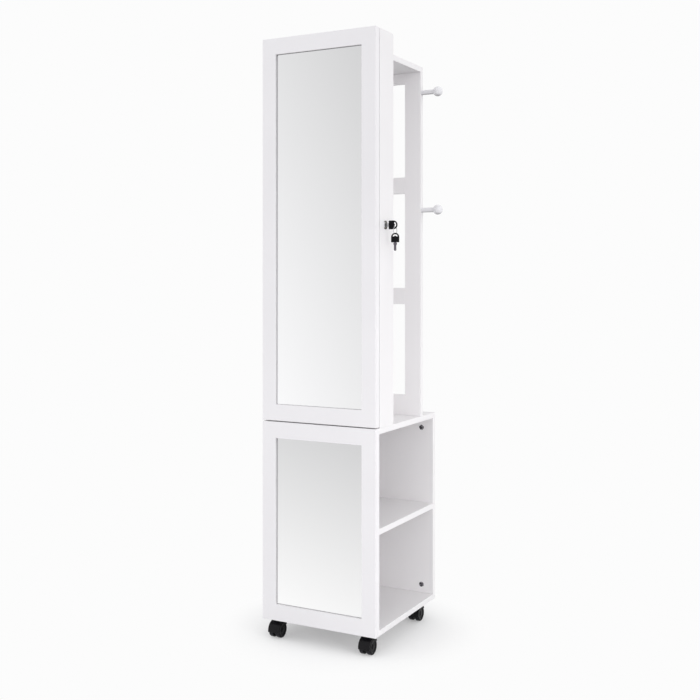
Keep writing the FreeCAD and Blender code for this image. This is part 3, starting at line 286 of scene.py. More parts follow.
@dataclass(frozen=True)
class PaintFinish:
    """Sprayed white paint on fibreboard, with a faint orange peel, and painted shade on faces that
    look down.
    """

    name: str
    light: Colour
    shade: Colour
    roughness: float = 0.42
    peel_scale: float = 520.0
    peel_height: float = 0.00004
    # under: painted shade, the darker colour blended onto faces that look down
    under: Colour = (214, 212, 213)
    painted_shade_turn: float = -0.35
    cloud_scale: float = 3.2
    cloud_start: float = 0.3
    cloud_end: float = 0.7
    gloss_scale: float = 14.0
    gloss_change: float = 0.05
    detail: float = 2.0
    gleam: float = 0.4

    def material(self) -> bpy.types.Material:
        """Build the paint."""
        shader = Shader(self.name)
        cloud = shader.noise(self.cloud_scale, self.detail)
        coat = shader.tint(cloud, [(self.cloud_start, self.shade), (self.cloud_end, self.light)])
        # Painted shade: faces that look down are blended towards the darker under colour.
        colour = shader.blend(self.painted_underside_shade(shader), coat, linear(self.under))
        peel = shader.noise(self.peel_scale, self.detail)
        gloss = shader.spread(
            shader.noise(self.gloss_scale),
            self.roughness - self.gloss_change,
            self.roughness + self.gloss_change,
        )
        surface = shader.add(
            "BsdfPrincipled",
            Base_Color=colour,
            Roughness=gloss,
            Normal=shader.bump(peel, self.peel_height),
            Specular_IOR_Level=self.gleam,
        )
        return shader.finish(surface.outputs["BSDF"])

    def painted_underside_shade(self, shader: Shader) -> bpy.types.NodeSocket:
        """Find the faces that look down, which are given painted shade.

        Args:
            shader: Material under construction.

        Returns:
            One on faces that look straight down, and zero on those that don't look down.
        """
        axes = shader.add("SeparateXYZ", Vector=shader.add("NewGeometry").outputs["Normal"])
        node = shader.add("MapRange", Value=axes.outputs["Z"])
        node.inputs["From Min"].default_value = self.painted_shade_turn
        node.inputs["From Max"].default_value = -1.0
        return node.outputs["Result"]


@dataclass(frozen=True)
class MirrorFinish:
    """Silvered glass with a painted reflection, darker at its upper right corner than at its lower
    left one.
    """

    name: str
    pane: Pane
    painted_dark_reflection: Colour
    pale: Colour
    across_share: float
    haze_scale: float = 9.0
    haze_low: float = 0.02
    haze_high: float = 0.05

    def material(self) -> bpy.types.Material:
        """Build the silvering."""
        shader = Shader(self.name)
        low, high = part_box(self.pane.value)
        axes = shader.add("SeparateXYZ", Vector=shader.place())
        fall = self.run(shader, axes.outputs["Z"], high.z, low.z, 1 - self.across_share)
        across = self.run(shader, axes.outputs["X"], high.x, low.x, self.across_share)
        tone = shader.add("Math")
        shader.tree.links.new(fall, tone.inputs[0])
        shader.tree.links.new(across, tone.inputs[1])
        # Painted reflection: darker towards the top and the right, lighter towards the bottom and
        # the left.
        colour = shader.tint(tone.outputs["Value"], [(0.0, self.painted_dark_reflection), (1.0, self.pale)])
        haze = shader.spread(shader.noise(self.haze_scale), self.haze_low, self.haze_high)
        surface = shader.add("BsdfPrincipled", Base_Color=colour, Metallic=1.0, Roughness=haze)
        return shader.finish(surface.outputs["BSDF"])

    def run(
        self, shader: Shader, place: bpy.types.NodeSocket, start: float, end: float, share: float
    ) -> bpy.types.NodeSocket:
        """Grow a value from zero to a share between two places on the glass.

        Args:
            shader: Material under construction.
            place: Coordinate on the glass.
            start: Where the value is zero, in metres.
            end: Where it has its share, in metres.
            share: What it grows to.

        Returns:
            The value.
        """
        node = shader.add("MapRange", Value=place)
        node.inputs["From Min"].default_value = start
        node.inputs["From Max"].default_value = end
        node.inputs["To Max"].default_value = share
        return node.outputs["Result"]


@dataclass(frozen=True)
class MetalFinish:
    """Plated or polished metal with fine marks."""

    name: str
    colour: Colour
    roughness: float
    grain_scale: float = 600.0
    grain_height: float = 0.00002
    grain_detail: float = 3.0
    grain_stretch: Point = (1.0, 1.0, 0.2)
    dull_share: float = 0.86
    dull_scale: float = 80.0
    dull_start: float = 0.35
    dull_end: float = 0.65
    smooth_share: float = 0.8
    rough_share: float = 1.25

    def material(self) -> bpy.types.Material:
        """Build the metal."""
        shader = Shader(self.name)
        grain = shader.noise(self.grain_scale, self.grain_detail, self.grain_stretch)
        dull = tuple(channel * self.dull_share for channel in self.colour)
        stops = [(self.dull_start, dull), (self.dull_end, self.colour)]
        colour = shader.tint(shader.noise(self.dull_scale), stops)
        gloss = shader.spread(
            grain, self.roughness * self.smooth_share, self.roughness * self.rough_share
        )
        surface = shader.add(
            "BsdfPrincipled",
            Base_Color=colour,
            Metallic=1.0,
            Roughness=gloss,
            Normal=shader.bump(grain, self.grain_height),
        )
        return shader.finish(surface.outputs["BSDF"])


@dataclass(frozen=True)
class PatchyMetalFinish:
    """Dark plated casting with bright patches in places."""

    name: str
    colour: Colour
    bright_patch_colour: Colour
    roughness: float
    patch_scale: float = 260.0
    patch_detail: float = 1.5
    patch_start: float = 0.52
    patch_end: float = 0.6
    grain_scale: float = 1800.0
    grain_detail: float = 2.0
    grain_height: float = 0.00004
    smooth_share: float = 0.8
    rough_share: float = 1.25

    def material(self) -> bpy.types.Material:
        """Build the casting."""
        shader = Shader(self.name)
        patches = shader.noise(self.patch_scale, self.patch_detail)
        stops = [(self.patch_start, self.colour), (self.patch_end, self.bright_patch_colour)]
        colour = shader.tint(patches, stops)
        grain = shader.noise(self.grain_scale, self.grain_detail)
        gloss = shader.spread(
            grain, self.roughness * self.smooth_share, self.roughness * self.rough_share
        )
        surface = shader.add(
            "BsdfPrincipled",
            Base_Color=colour,
            Metallic=1.0,
            Roughness=gloss,
            Normal=shader.bump(grain, self.grain_height),
        )
        return shader.finish(surface.outputs["BSDF"])


@dataclass(frozen=True)
class TurnedFinish:
    """Plating over a turned face, with painted highlight in the side sectors and painted shade in
    the sectors above and below.
    """

    name: str
    node: str
    bright: Colour
    painted_shade_above: Colour
    painted_shade_below: Colour
    roughness: float
    below_end: float = 0.08
    bright_start: float = 0.3
    bright_end: float = 0.72
    above_start: float = 0.93
    wear_scale: float = 900.0
    wear_detail: float = 2.0
    wear_height: float = 0.00001
    smooth_share: float = 0.7
    rough_share: float = 1.4

    def material(self) -> bpy.types.Material:
        """Build the plating."""
        shader = Shader(self.name)
        low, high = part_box(self.node)
        middle = (low + high) / 2
        spoke = shader.add("VectorMath", Vector=shader.place())
        spoke.operation = "SUBTRACT"
        spoke.inputs[1].default_value = middle
        flat = shader.add("VectorMath", Vector=spoke.outputs["Vector"])
        flat.operation = "MULTIPLY"
        flat.inputs[1].default_value = (0.0, 1.0, 1.0)
        unit = shader.add("VectorMath", Vector=flat.outputs["Vector"])
        unit.operation = "NORMALIZE"
        axes = shader.add("SeparateXYZ", Vector=unit.outputs["Vector"])
        turn = shader.add("MapRange", Value=axes.outputs["Z"])
        turn.inputs["From Min"].default_value = -1.0
        # Painted highlight on both sides of the middle, painted shade above it and darker painted
        # shade below it.
        stops = [
            (self.below_end, self.painted_shade_below),
            (self.bright_start, self.bright),
            (self.bright_end, self.bright),
            (self.above_start, self.painted_shade_above),
        ]
        colour = shader.tint(turn.outputs["Result"], stops)
        wear = shader.noise(self.wear_scale, self.wear_detail)
        gloss = shader.spread(
            wear, self.roughness * self.smooth_share, self.roughness * self.rough_share
        )
        surface = shader.add(
            "BsdfPrincipled",
            Base_Color=colour,
            Metallic=1.0,
            Roughness=gloss,
            Normal=shader.bump(wear, self.wear_height),
        )
        return shader.finish(surface.outputs["BSDF"])


@dataclass(frozen=True)
class PlasticFinish:
    """Moulded plastic with a fine spark-eroded texture."""

    name: str
    colour: Colour
    roughness: float
    gleam: float = 0.25
    # side: painted shade, a darker colour for the faces along the axle of a wheel
    side: Colour | None = None
    side_start: float = 0.6
    side_end: float = 0.9
    grain_scale: float = 1400.0
    grain_height: float = 0.00003
    grain_detail: float = 4.0
    cloud_scale: float = 45.0
    cloud_start: float = 0.3
    cloud_end: float = 0.75
    lighter_share: float = 1.35
    lighter_step: float = 2.0
    smooth_share: float = 0.85
    rough_share: float = 1.2

    def material(self) -> bpy.types.Material:
        """Build the plastic."""
        shader = Shader(self.name)
        grain = shader.noise(self.grain_scale, self.grain_detail)
        lighter = tuple(
            channel * self.lighter_share + self.lighter_step for channel in self.colour
        )
        stops = [(self.cloud_start, self.colour), (self.cloud_end, lighter)]
        colour = shader.tint(shader.noise(self.cloud_scale), stops)
        # Painted shade on the flat sides, painted light on the lighter tread: lit and shaded parts
        # of one nylon.
        if self.side is not None:
            colour = shader.blend(self.across(shader), colour, linear(self.side))
        gloss = shader.spread(
            grain, self.roughness * self.smooth_share, self.roughness * self.rough_share
        )
        surface = shader.add(
            "BsdfPrincipled",
            Base_Color=colour,
            Roughness=gloss,
            Normal=shader.bump(grain, self.grain_height),
            Specular_IOR_Level=self.gleam,
        )
        return shader.finish(surface.outputs["BSDF"])

    def across(self, shader: Shader) -> bpy.types.NodeSocket:
        """Find the flat sides, which face along the axle.

        Args:
            shader: Material under construction.

        Returns:
            One on the sides and zero on the tread.
        """
        facing = shader.add("TexCoord").outputs["Normal"]
        axes = shader.add("SeparateXYZ", Vector=facing)
        size = shader.add("Math")
        size.operation = "ABSOLUTE"
        shader.tree.links.new(axes.outputs["X"], size.inputs[0])
        node = shader.add("MapRange", Value=size.outputs["Value"])
        node.inputs["From Min"].default_value = self.side_start
        node.inputs["From Max"].default_value = self.side_end
        return node.outputs["Result"]


@dataclass(frozen=True)
class VelvetFinish:
    """Short pile velvet that brightens at a glancing look."""

    name: str
    colour: Colour
    pile: Colour
    pile_scale: float = 2600.0
    pile_detail: float = 2.0
    pile_height: float = 0.0004
    brush_scale: float = 18.0
    brush_detail: float = 3.0
    brush_stretch: Point = (1.0, 1.0, 0.4)
    brush_start: float = 0.3
    brush_end: float = 0.75
    roughness: float = 0.9
    sheen: float = 0.45
    sheen_roughness: float = 0.35
    gleam: float = 0.15

    def material(self) -> bpy.types.Material:
        """Build the velvet."""
        shader = Shader(self.name)
        pile = shader.noise(self.pile_scale, self.pile_detail)
        brushed = shader.noise(self.brush_scale, self.brush_detail, self.brush_stretch)
        stops = [(self.brush_start, self.colour), (self.brush_end, self.pile)]
        surface = shader.add(
            "BsdfPrincipled",
            Base_Color=shader.tint(brushed, stops),
            Roughness=self.roughness,
            Normal=shader.bump(pile, self.pile_height),
            Sheen_Weight=self.sheen,
            Sheen_Roughness=self.sheen_roughness,
            Specular_IOR_Level=self.gleam,
        )
        return shader.finish(surface.outputs["BSDF"])


class Finish(Enum):
    """Every finish of the cabinet."""

    FRONT_PAINT = PaintFinish("front_paint", (245, 243, 245), (241, 239, 241))
    BOARD_WHITE = PaintFinish(
        "board_white", (245, 243, 244), (241, 239, 240), 0.48, 380.0, 0.00003
    )
    PEG_LACQUER = PaintFinish(
        "peg_lacquer",
        light=(238, 237, 240),
        shade=(232, 231, 234),
        roughness=0.2,
        peel_scale=90.0,
        peel_height=0.00002,
        # Painted shade on the lower half of the pegs.
        under=(152, 150, 152),
        painted_shade_turn=-0.55,
    )
    # Both mirrors carry a painted reflection, from a darker upper right to a lighter lower left.
    UPPER_MIRROR = MirrorFinish(
        "upper_mirror", Pane.UPPER, (213, 213, 214), (254, 254, 255), 0.37
    )
    LOWER_MIRROR = MirrorFinish(
        "lower_mirror", Pane.LOWER, (212, 212, 213), (255, 255, 255), 0.17
    )
    DARK_ZINC = PatchyMetalFinish("dark_zinc", (78, 76, 80), (206, 205, 210), 0.35)
    ZINC_STEEL = MetalFinish("zinc_steel", (186, 186, 190), 0.34)
    # Chrome of the lock: painted highlight and painted shade in sectors round its middle.
    LOCK_CHROME = TurnedFinish(
        "lock_chrome",
        "lock_housing",
        bright=(236, 236, 238),
        painted_shade_above=(104, 102, 97),
        painted_shade_below=(84, 80, 74),
        roughness=0.12,
    )
    # Dark plug: painted shade where the key's collar meets the lock.
    SHADED_PLUG_STEEL = MetalFinish("plug_steel_painted_shade", (94, 92, 92), 0.25)
    KEY_STEEL = MetalFinish("key_steel", (196, 196, 198), 0.25)
    # The spare blade is the key steel made darker: painted shade.
    SHADED_KEY_STEEL = MetalFinish("key_steel_painted_shade", (116, 112, 120), 0.3)
    KEY_PLASTIC = PlasticFinish("key_plastic", (13, 13, 16), 0.36, 0.1)
    HOOK_BRASS = MetalFinish("hook_brass", (212, 178, 110), 0.22)
    # Bead at the mirror edges, dark to paint the shadow of the gap.
    SEAL_GAP_SHADE = PlasticFinish("dark_seal", (44, 44, 46), 0.5)
    VELVET = VelvetFinish("black_velvet", (21, 21, 23), (44, 44, 48))
    CASTER_NYLON = PlasticFinish("caster_nylon", (11, 10, 13), 0.3, 0.18)
    # Wheels: painted light on the tread and painted shade on the flat sides.
    WHEEL_NYLON = PlasticFinish("wheel_nylon", (32, 31, 36), 0.3, 0.09, (9, 9, 10))


SLOT_FINISHES = {
    "white_board": Finish.BOARD_WHITE,
    "zinc_cam": Finish.DARK_ZINC,
    "zinc_steel": Finish.ZINC_STEEL,
    "lock_chrome": Finish.LOCK_CHROME,
    "key_steel": Finish.KEY_STEEL,
    "key_plastic": Finish.KEY_PLASTIC,
    "hook_brass": Finish.HOOK_BRASS,
    "velvet": Finish.VELVET,
    "caster_plastic": Finish.CASTER_NYLON,
    "wheel_plastic": Finish.WHEEL_NYLON,
}


@dataclass
class Wardrobe:
    """Makes each finish once and hands it out."""

    made: dict[Finish, bpy.types.Material] = field(default_factory=dict)

    def material(self, finish: Finish) -> bpy.types.Material:
        """Material of a finish, made when it is first asked for.

        Args:
            finish: The finish.

        Returns:
            Its material.
        """
        if finish not in self.made:
            self.made[finish] = finish.value.material()
        return self.made[finish]

    def dress(self, item: bpy.types.Object, finish: Finish) -> None:
        """Give an object one finish all over.

        Args:
            item: The object.
            finish: Its finish.
        """
        item.data.materials.clear()
        item.data.materials.append(self.material(finish))


@dataclass(frozen=True)
class Lamp:
    """Square area lamp, with its side in metres, power in watts and beam in degrees."""

    name: str
    place: Point
    target: Point
    size: float
    power: float
    spread: float = 180.0


@dataclass
class Studio:
    """Plain pale floor, soft light and the camera at the photograph's angle."""

    camera_place: Point = (1.4247, -2.6811, 1.0264)
    camera_turn: float = math.radians(28.067)
    lens: float = 53.2
    sensor: float = 36.0
    rise_shift: float = -0.105
    floor_size: float = 30.0
    white: Colour = (252, 252, 252)
    floor_fade_start: float = 0.18
    floor_fade_end: float = 0.4
    floor_glow: float = 0.26
    floor_bounce: Colour = (205, 205, 206)
    sky_colour: tuple[float, float, float, float] = (0.985, 0.99, 1.0, 1.0)
    sky_side: Point = (0.0, -1.0, 0.0)
    sky_bright: float = 1.11
    sky_dim: float = 0.62
    lamps: tuple[Lamp, ...] = (
        Lamp("low_right_lamp", (1.7, -1.0, 0.4), (0.0, 0.0, 0.3), 1.0, 1.6, 75.0),
        Lamp("right_lamp", (3.2, -0.6, 1.9), (0.0, 0.0, 0.9), 2.4, 20.0),
    )

    def build(self) -> None:
        """Set up the floor, the lights, the world and the camera."""
        bpy.context.scene.view_settings.view_transform = "Standard"
        self.build_floor()
        self.build_world()
        self.build_lights()
        self.build_camera()

    def build_floor(self) -> None:
        """Large floor that fades into the white background."""
        mesh = bpy.data.meshes.new("studio_floor")
        shape = bmesh.new()
        bmesh.ops.create_grid(shape, x_segments=1, y_segments=1, size=self.floor_size)
        shape.to_mesh(mesh)
        shape.free()
        floor = bpy.data.objects.new("studio_floor", mesh)
        bpy.context.scene.collection.objects.link(floor)
        shader = Shader("studio_floor")
        distance = shader.add("VectorMath", Vector=shader.place((1, 1, 0)))
        distance.operation = "LENGTH"
        fade = shader.add("MapRange", Value=distance.outputs["Value"])
        fade.interpolation_type = "SMOOTHSTEP"
        fade.inputs["From Min"].default_value = self.floor_fade_start
        fade.inputs["From Max"].default_value = self.floor_fade_end
        fade.inputs["To Min"].default_value = self.floor_glow
        shaded = shader.add("BsdfDiffuse", Color=linear(self.white))
        plain = shader.add("Emission", Color=linear(self.white), Strength=1.0)
        seen = shader.mix(fade.outputs["Result"], shaded.outputs["BSDF"], plain.outputs["Emission"])
        bounce = shader.add("BsdfDiffuse", Color=linear(self.floor_bounce))
        path = shader.add("LightPath")
        whole = shader.mix(path.outputs["Is Diffuse Ray"], seen, bounce.outputs["BSDF"])
        mesh.materials.append(shader.finish(whole))

    def build_world(self) -> None:
        """Even light from all round, and white for the camera and for reflections."""
        world = bpy.data.worlds.new("studio_world")
        bpy.context.scene.world = world
        world.use_nodes = True
        nodes, links = world.node_tree.nodes, world.node_tree.links
        nodes.clear()
        output = nodes.new("ShaderNodeOutputWorld")
        path = nodes.new("ShaderNodeLightPath")
        seen = nodes.new("ShaderNodeMath")
        seen.operation = "MAXIMUM"
        links.new(path.outputs["Is Camera Ray"], seen.inputs[0])
        links.new(path.outputs["Is Glossy Ray"], seen.inputs[1])
        either = nodes.new("ShaderNodeMath")
        either.operation = "MAXIMUM"
        links.new(seen.outputs[0], either.inputs[0])
        links.new(path.outputs["Is Transmission Ray"], either.inputs[1])
        way = nodes.new("ShaderNodeTexCoord")
        towards = nodes.new("ShaderNodeVectorMath")
        towards.operation = "DOT_PRODUCT"
        links.new(way.outputs["Generated"], towards.inputs[0])
        towards.inputs[1].default_value = self.sky_side
        glow = nodes.new("ShaderNodeMapRange")
        links.new(towards.outputs["Value"], glow.inputs["Value"])
        glow.inputs["From Min"].default_value = -1.0
        glow.inputs["From Max"].default_value = 1.0
        glow.inputs["To Min"].default_value = self.sky_dim
        glow.inputs["To Max"].default_value = self.sky_bright
        light = nodes.new("ShaderNodeBackground")
        light.inputs["Color"].default_value = self.sky_colour
        links.new(glow.outputs["Result"], light.inputs["Strength"])
        backdrop = nodes.new("ShaderNodeBackground")
        backdrop.inputs["Color"].default_value = linear(self.white)
        backdrop.inputs["Strength"].default_value = 1.0
        mix = nodes.new("ShaderNodeMixShader")
        links.new(either.outputs[0], mix.inputs["Fac"])
        links.new(light.outputs[0], mix.inputs[1])
        links.new(backdrop.outputs[0], mix.inputs[2])
        links.new(mix.outputs[0], output.inputs["Surface"])

    def build_lights(self) -> None:
        """Hang the lamps, which metal and glass don't show."""
        for lamp in self.lamps:
            data = bpy.data.lights.new(lamp.name, "AREA")
            data.shape = "SQUARE"
            data.size = lamp.size
            data.energy = lamp.power
            data.spread = math.radians(lamp.spread)
            item = bpy.data.objects.new(lamp.name, data)
            item.location = lamp.place
            aim = Vector(lamp.target) - Vector(lamp.place)
            item.rotation_euler = aim.to_track_quat("-Z", "Y").to_euler()
            item.visible_glossy = False
            bpy.context.scene.collection.objects.link(item)

    def build_camera(self) -> None:
        """Level camera, shifted so that the whole cabinet is in the square picture."""
        data = bpy.data.cameras.new("view_camera")
        data.lens = self.lens
        data.sensor_width = self.sensor
        data.shift_y = self.rise_shift
        item = bpy.data.objects.new("view_camera", data)
        item.location = self.camera_place
        item.rotation_euler = (math.radians(90), 0.0, self.camera_turn)
        bpy.context.scene.collection.objects.link(item)
        bpy.context.scene.camera = item


def rotation_about(axis: str, angle: float) -> Matrix:
    """Turn about one axis as a matrix that bmesh operators take.

    Args:
        axis: "X", "Y" or "Z".
        angle: Angle in radians.

    Returns:
        The matrix.
    """
    return Matrix.Rotation(angle, 3, axis)


def start_shape(node: str, merge: float = 0.000002, flat: float = 0.6) -> bmesh.types.BMesh:
    """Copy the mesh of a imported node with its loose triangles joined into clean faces.

    Args:
        node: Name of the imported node.
        merge: Corners closer than this become one, in metres.
        flat: Faces that meet at less than this become one, in degrees.

    Returns:
        The copy, ready to be shaped further.
    """
    shape = bmesh.new()
    shape.from_mesh(frame["nodes"][node].data)
    bmesh.ops.remove_doubles(shape, verts=shape.verts, dist=merge)
    bmesh.ops.dissolve_limit(
        shape,
        angle_limit=math.radians(flat),
        use_dissolve_boundaries=False,
        verts=shape.verts,
        edges=shape.edges,
    )
    return shape


def keep_piece(
    name: str, shape: bmesh.types.BMesh, body: str, crease: float = 35.0
) -> bpy.types.Object:
    """Turn a finished shape into an object that moves with a body.

    Args:
        name: Name of the new piece.
        shape: The shape, which is freed here.
        body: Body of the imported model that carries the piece.
        crease: Edges that turn by more degrees than this stay crisp.

    Returns:
        The new object.
    """
    mesh = bpy.data.meshes.new(name)
    shape.to_mesh(mesh)
    shape.free()
    mesh.shade_smooth()
    mesh.set_sharp_from_angle(angle=math.radians(crease))
    item = bpy.data.objects.new(name, mesh)
    bpy.context.scene.collection.objects.link(item)
    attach(item, body)
    LOG.info("built %s on %s", name, body)
    return item


@dataclass
class SubAssembly:
    """Nodes that belong together, and the pieces made for them."""

    wardrobe: Wardrobe
    slots: dict[str, str]

    def dress(self, nodes: Sequence[str]) -> None:
        """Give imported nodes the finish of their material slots.

        Args:
            nodes: Names of the nodes.
        """
        for node in nodes:
            self.wardrobe.dress(frame["nodes"][node], SLOT_FINISHES[self.slots[node]])
            LOG.info("dressed %s", node)

    def soften(
        self, node: str, name: str, edge: float, finish: Finish, sharp: float = 32.0, steps: int = 2
    ) -> bpy.types.Object:
        """Replace a moulded node by a copy of it with rounded edges.

        Args:
            node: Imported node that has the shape.
            name: Name of the new piece.
            edge: Width of the rounding in metres.
            finish: What the piece is made of.
            sharp: Edges that turn by more degrees than this are rounded.
            steps: Faces across each rounding.

        Returns:
            The rounded piece.
        """
        shape = start_shape(node)
        limit = math.radians(sharp)
        whole = [line for line in shape.edges if line.is_manifold]
        edges = [line for line in whole if line.calc_face_angle() > limit]
        bmesh.ops.bevel(
            shape,
            geom=edges,
            offset=edge,
            offset_type="OFFSET",
            segments=steps,
            profile=ROUND_PROFILE,
            affect="EDGES",
            clamp_overlap=True,
            material=-1,
        )
        bmesh.ops.recalc_face_normals(shape, faces=shape.faces)
        item = keep_piece(name, shape, frame["nodes"][node]["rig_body"])
        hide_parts(node)
        self.wardrobe.dress(item, finish)
        return item


@dataclass
class MirrorSealGapShade(SubAssembly):
    """Dark bead where a mirror meets the frame round it: partly a real bead, partly painted shade
    that stands for the shadow in the gap at the glass edge.
    """

    pane: Pane = Pane.UPPER
    opening: str = "door_frame"
    inset: float = 0.0004
    width: float = 0.0009
    # Narrower along the top and the bottom than at the sides, so that the painted shade follows
    # where the gap's shadow shows.
    level_width: float = 0.0004
    height: float = 0.0005

    def build(self) -> bpy.types.Object:
        """Lay the bead on the glass, just inside the edge of the frame's opening.

        Returns:
            The bead.
        """
        node = frame["nodes"][self.pane.value]
        glass_low, glass_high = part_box(self.pane.value)
        lip = self.lip_width() + self.inset
        low = Vector((glass_low.x + lip, glass_low.y, glass_low.z + lip))
        high = Vector((glass_high.x - lip, glass_low.y, glass_high.z - lip))
        shape = bmesh.new()
        bmesh.ops.create_grid(shape, x_segments=1, y_segments=1, size=HALF_UNIT)
        upright = rotation_about("X", math.radians(90))
        bmesh.ops.rotate(shape, verts=shape.verts, cent=(0, 0, 0), matrix=upright)
        bmesh.ops.scale(shape, verts=shape.verts, vec=(high.x - low.x, 1.0, high.z - low.z))
        bmesh.ops.translate(shape, verts=shape.verts, vec=(low + high) / 2)
        middle = shape.faces[:]
        bmesh.ops.inset_region(
            shape, faces=middle, thickness=self.width, use_even_offset=True, use_boundary=True
        )
        centre_height = (low.z + high.z) / 2
        spare = self.width - self.level_width
        for corner in middle[0].verts[:]:
            outward = math.copysign(spare, corner.co.z - centre_height)
            bmesh.ops.translate(shape, verts=[corner], vec=(0.0, 0.0, outward))
        bmesh.ops.delete(shape, geom=middle, context="FACES")
        raised = bmesh.ops.extrude_face_region(shape, geom=shape.faces[:])["geom"]
        top = [item for item in raised if isinstance(item, bmesh.types.BMVert)]
        bmesh.ops.translate(shape, verts=top, vec=(0.0, -self.height, 0.0))
        bmesh.ops.recalc_face_normals(shape, faces=shape.faces)
        bead = keep_piece(f"{self.pane.value}_seal", shape, node["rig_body"])
        # Dark colour of the bead: painted shadow of the gap at the glass edge.
        self.wardrobe.dress(bead, Finish.SEAL_GAP_SHADE)
        return bead

    def lip_width(self) -> float:
        """Measure how far the lip of the frame covers the edge of the glass.

        Returns:
            The width of the lip in metres.
        """
        glass_low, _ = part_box(self.pane.value)
        corners = [corner.co for corner in frame["nodes"][self.opening].data.vertices]
        in_front = [point.x for point in corners if point.y < glass_low.y]
        return min(across for across in in_front if glass_low.x < across < 0.0) - glass_low.x


@dataclass
class Base(SubAssembly):
    """Open-sided base with its front frame, mirror and shelf."""

    boards: tuple[str, ...] = (
        "base_bottom_board",
        "base_top_board",
        "base_back_panel",
        "base_left_panel",
        "base_shelf",
        "base_mirror_backing",
    )
    frame_node: str = "base_front_frame"
    fittings: tuple[str, ...] = ("panel_cams", "shelf_pins")

    def build(self) -> None:
        """Dress the boards and fittings, paint the frame and silver the mirror."""
        self.dress(self.boards + self.fittings)
        self.wardrobe.dress(frame["nodes"][self.frame_node], Finish.FRONT_PAINT)
        self.wardrobe.dress(frame["nodes"][Pane.LOWER.value], Finish.LOWER_MIRROR)
        MirrorSealGapShade(self.wardrobe, self.slots, Pane.LOWER, self.frame_node).build()


@dataclass
class Door(SubAssembly):
    """Mirror door of the jewellery case with its hinges and strike."""

    frame_node: str = "door_frame"
    fittings: tuple[str, ...] = (
        "door_mirror_backing",
        "lock_strike",
        "hinge_door_leaves",
        "hinge_door_screws",
        "hinge_case_leaves",
        "hinge_case_screws",
        "hinge_pins",
    )

    def build(self) -> None:
        """Dress the door, its hinges and its strike, and silver the mirror."""
        self.dress(self.fittings)
        self.wardrobe.dress(frame["nodes"][self.frame_node], Finish.FRONT_PAINT)
        self.wardrobe.dress(frame["nodes"][Pane.UPPER.value], Finish.UPPER_MIRROR)
        MirrorSealGapShade(self.wardrobe, self.slots, Pane.UPPER, self.frame_node).build()


@dataclass
class VelvetLining(SubAssembly):
    """Velvet stretched over the back of the case."""

    node: str = "back_lining"
    columns: int = 36
    rows: int = 110
    thickness: float = 0.0012
    ripple: float = 0.00022
    ripple_scale: float = 16.0

    def build(self) -> bpy.types.Object:
        """Stretch the velvet over the back board.

        Returns:
            The sheet.
        """
        low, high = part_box(self.node)
        size = high - low
        shape = bmesh.new()
        bmesh.ops.create_grid(
            shape, x_segments=self.columns, y_segments=self.rows, size=HALF_UNIT
        )
        upright = rotation_about("X", math.radians(90))
        bmesh.ops.rotate(shape, verts=shape.verts, cent=(0, 0, 0), matrix=upright)
        bmesh.ops.scale(shape, verts=shape.verts, vec=(size.x, 1.0, size.z))
        bmesh.ops.translate(shape, verts=shape.verts, vec=(low + high) / 2)
        for corner in shape.verts:
            corner.co.y += noise.noise(corner.co * self.ripple_scale) * self.ripple
        sheet = keep_piece("velvet_lining", shape, "cabinet")
        wall = sheet.modifiers.new("pile_thickness", "SOLIDIFY")
        wall.thickness = self.thickness
        wall.offset = 0.0
        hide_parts(self.node)
        self.wardrobe.dress(sheet, Finish.VELVET)
        return sheet


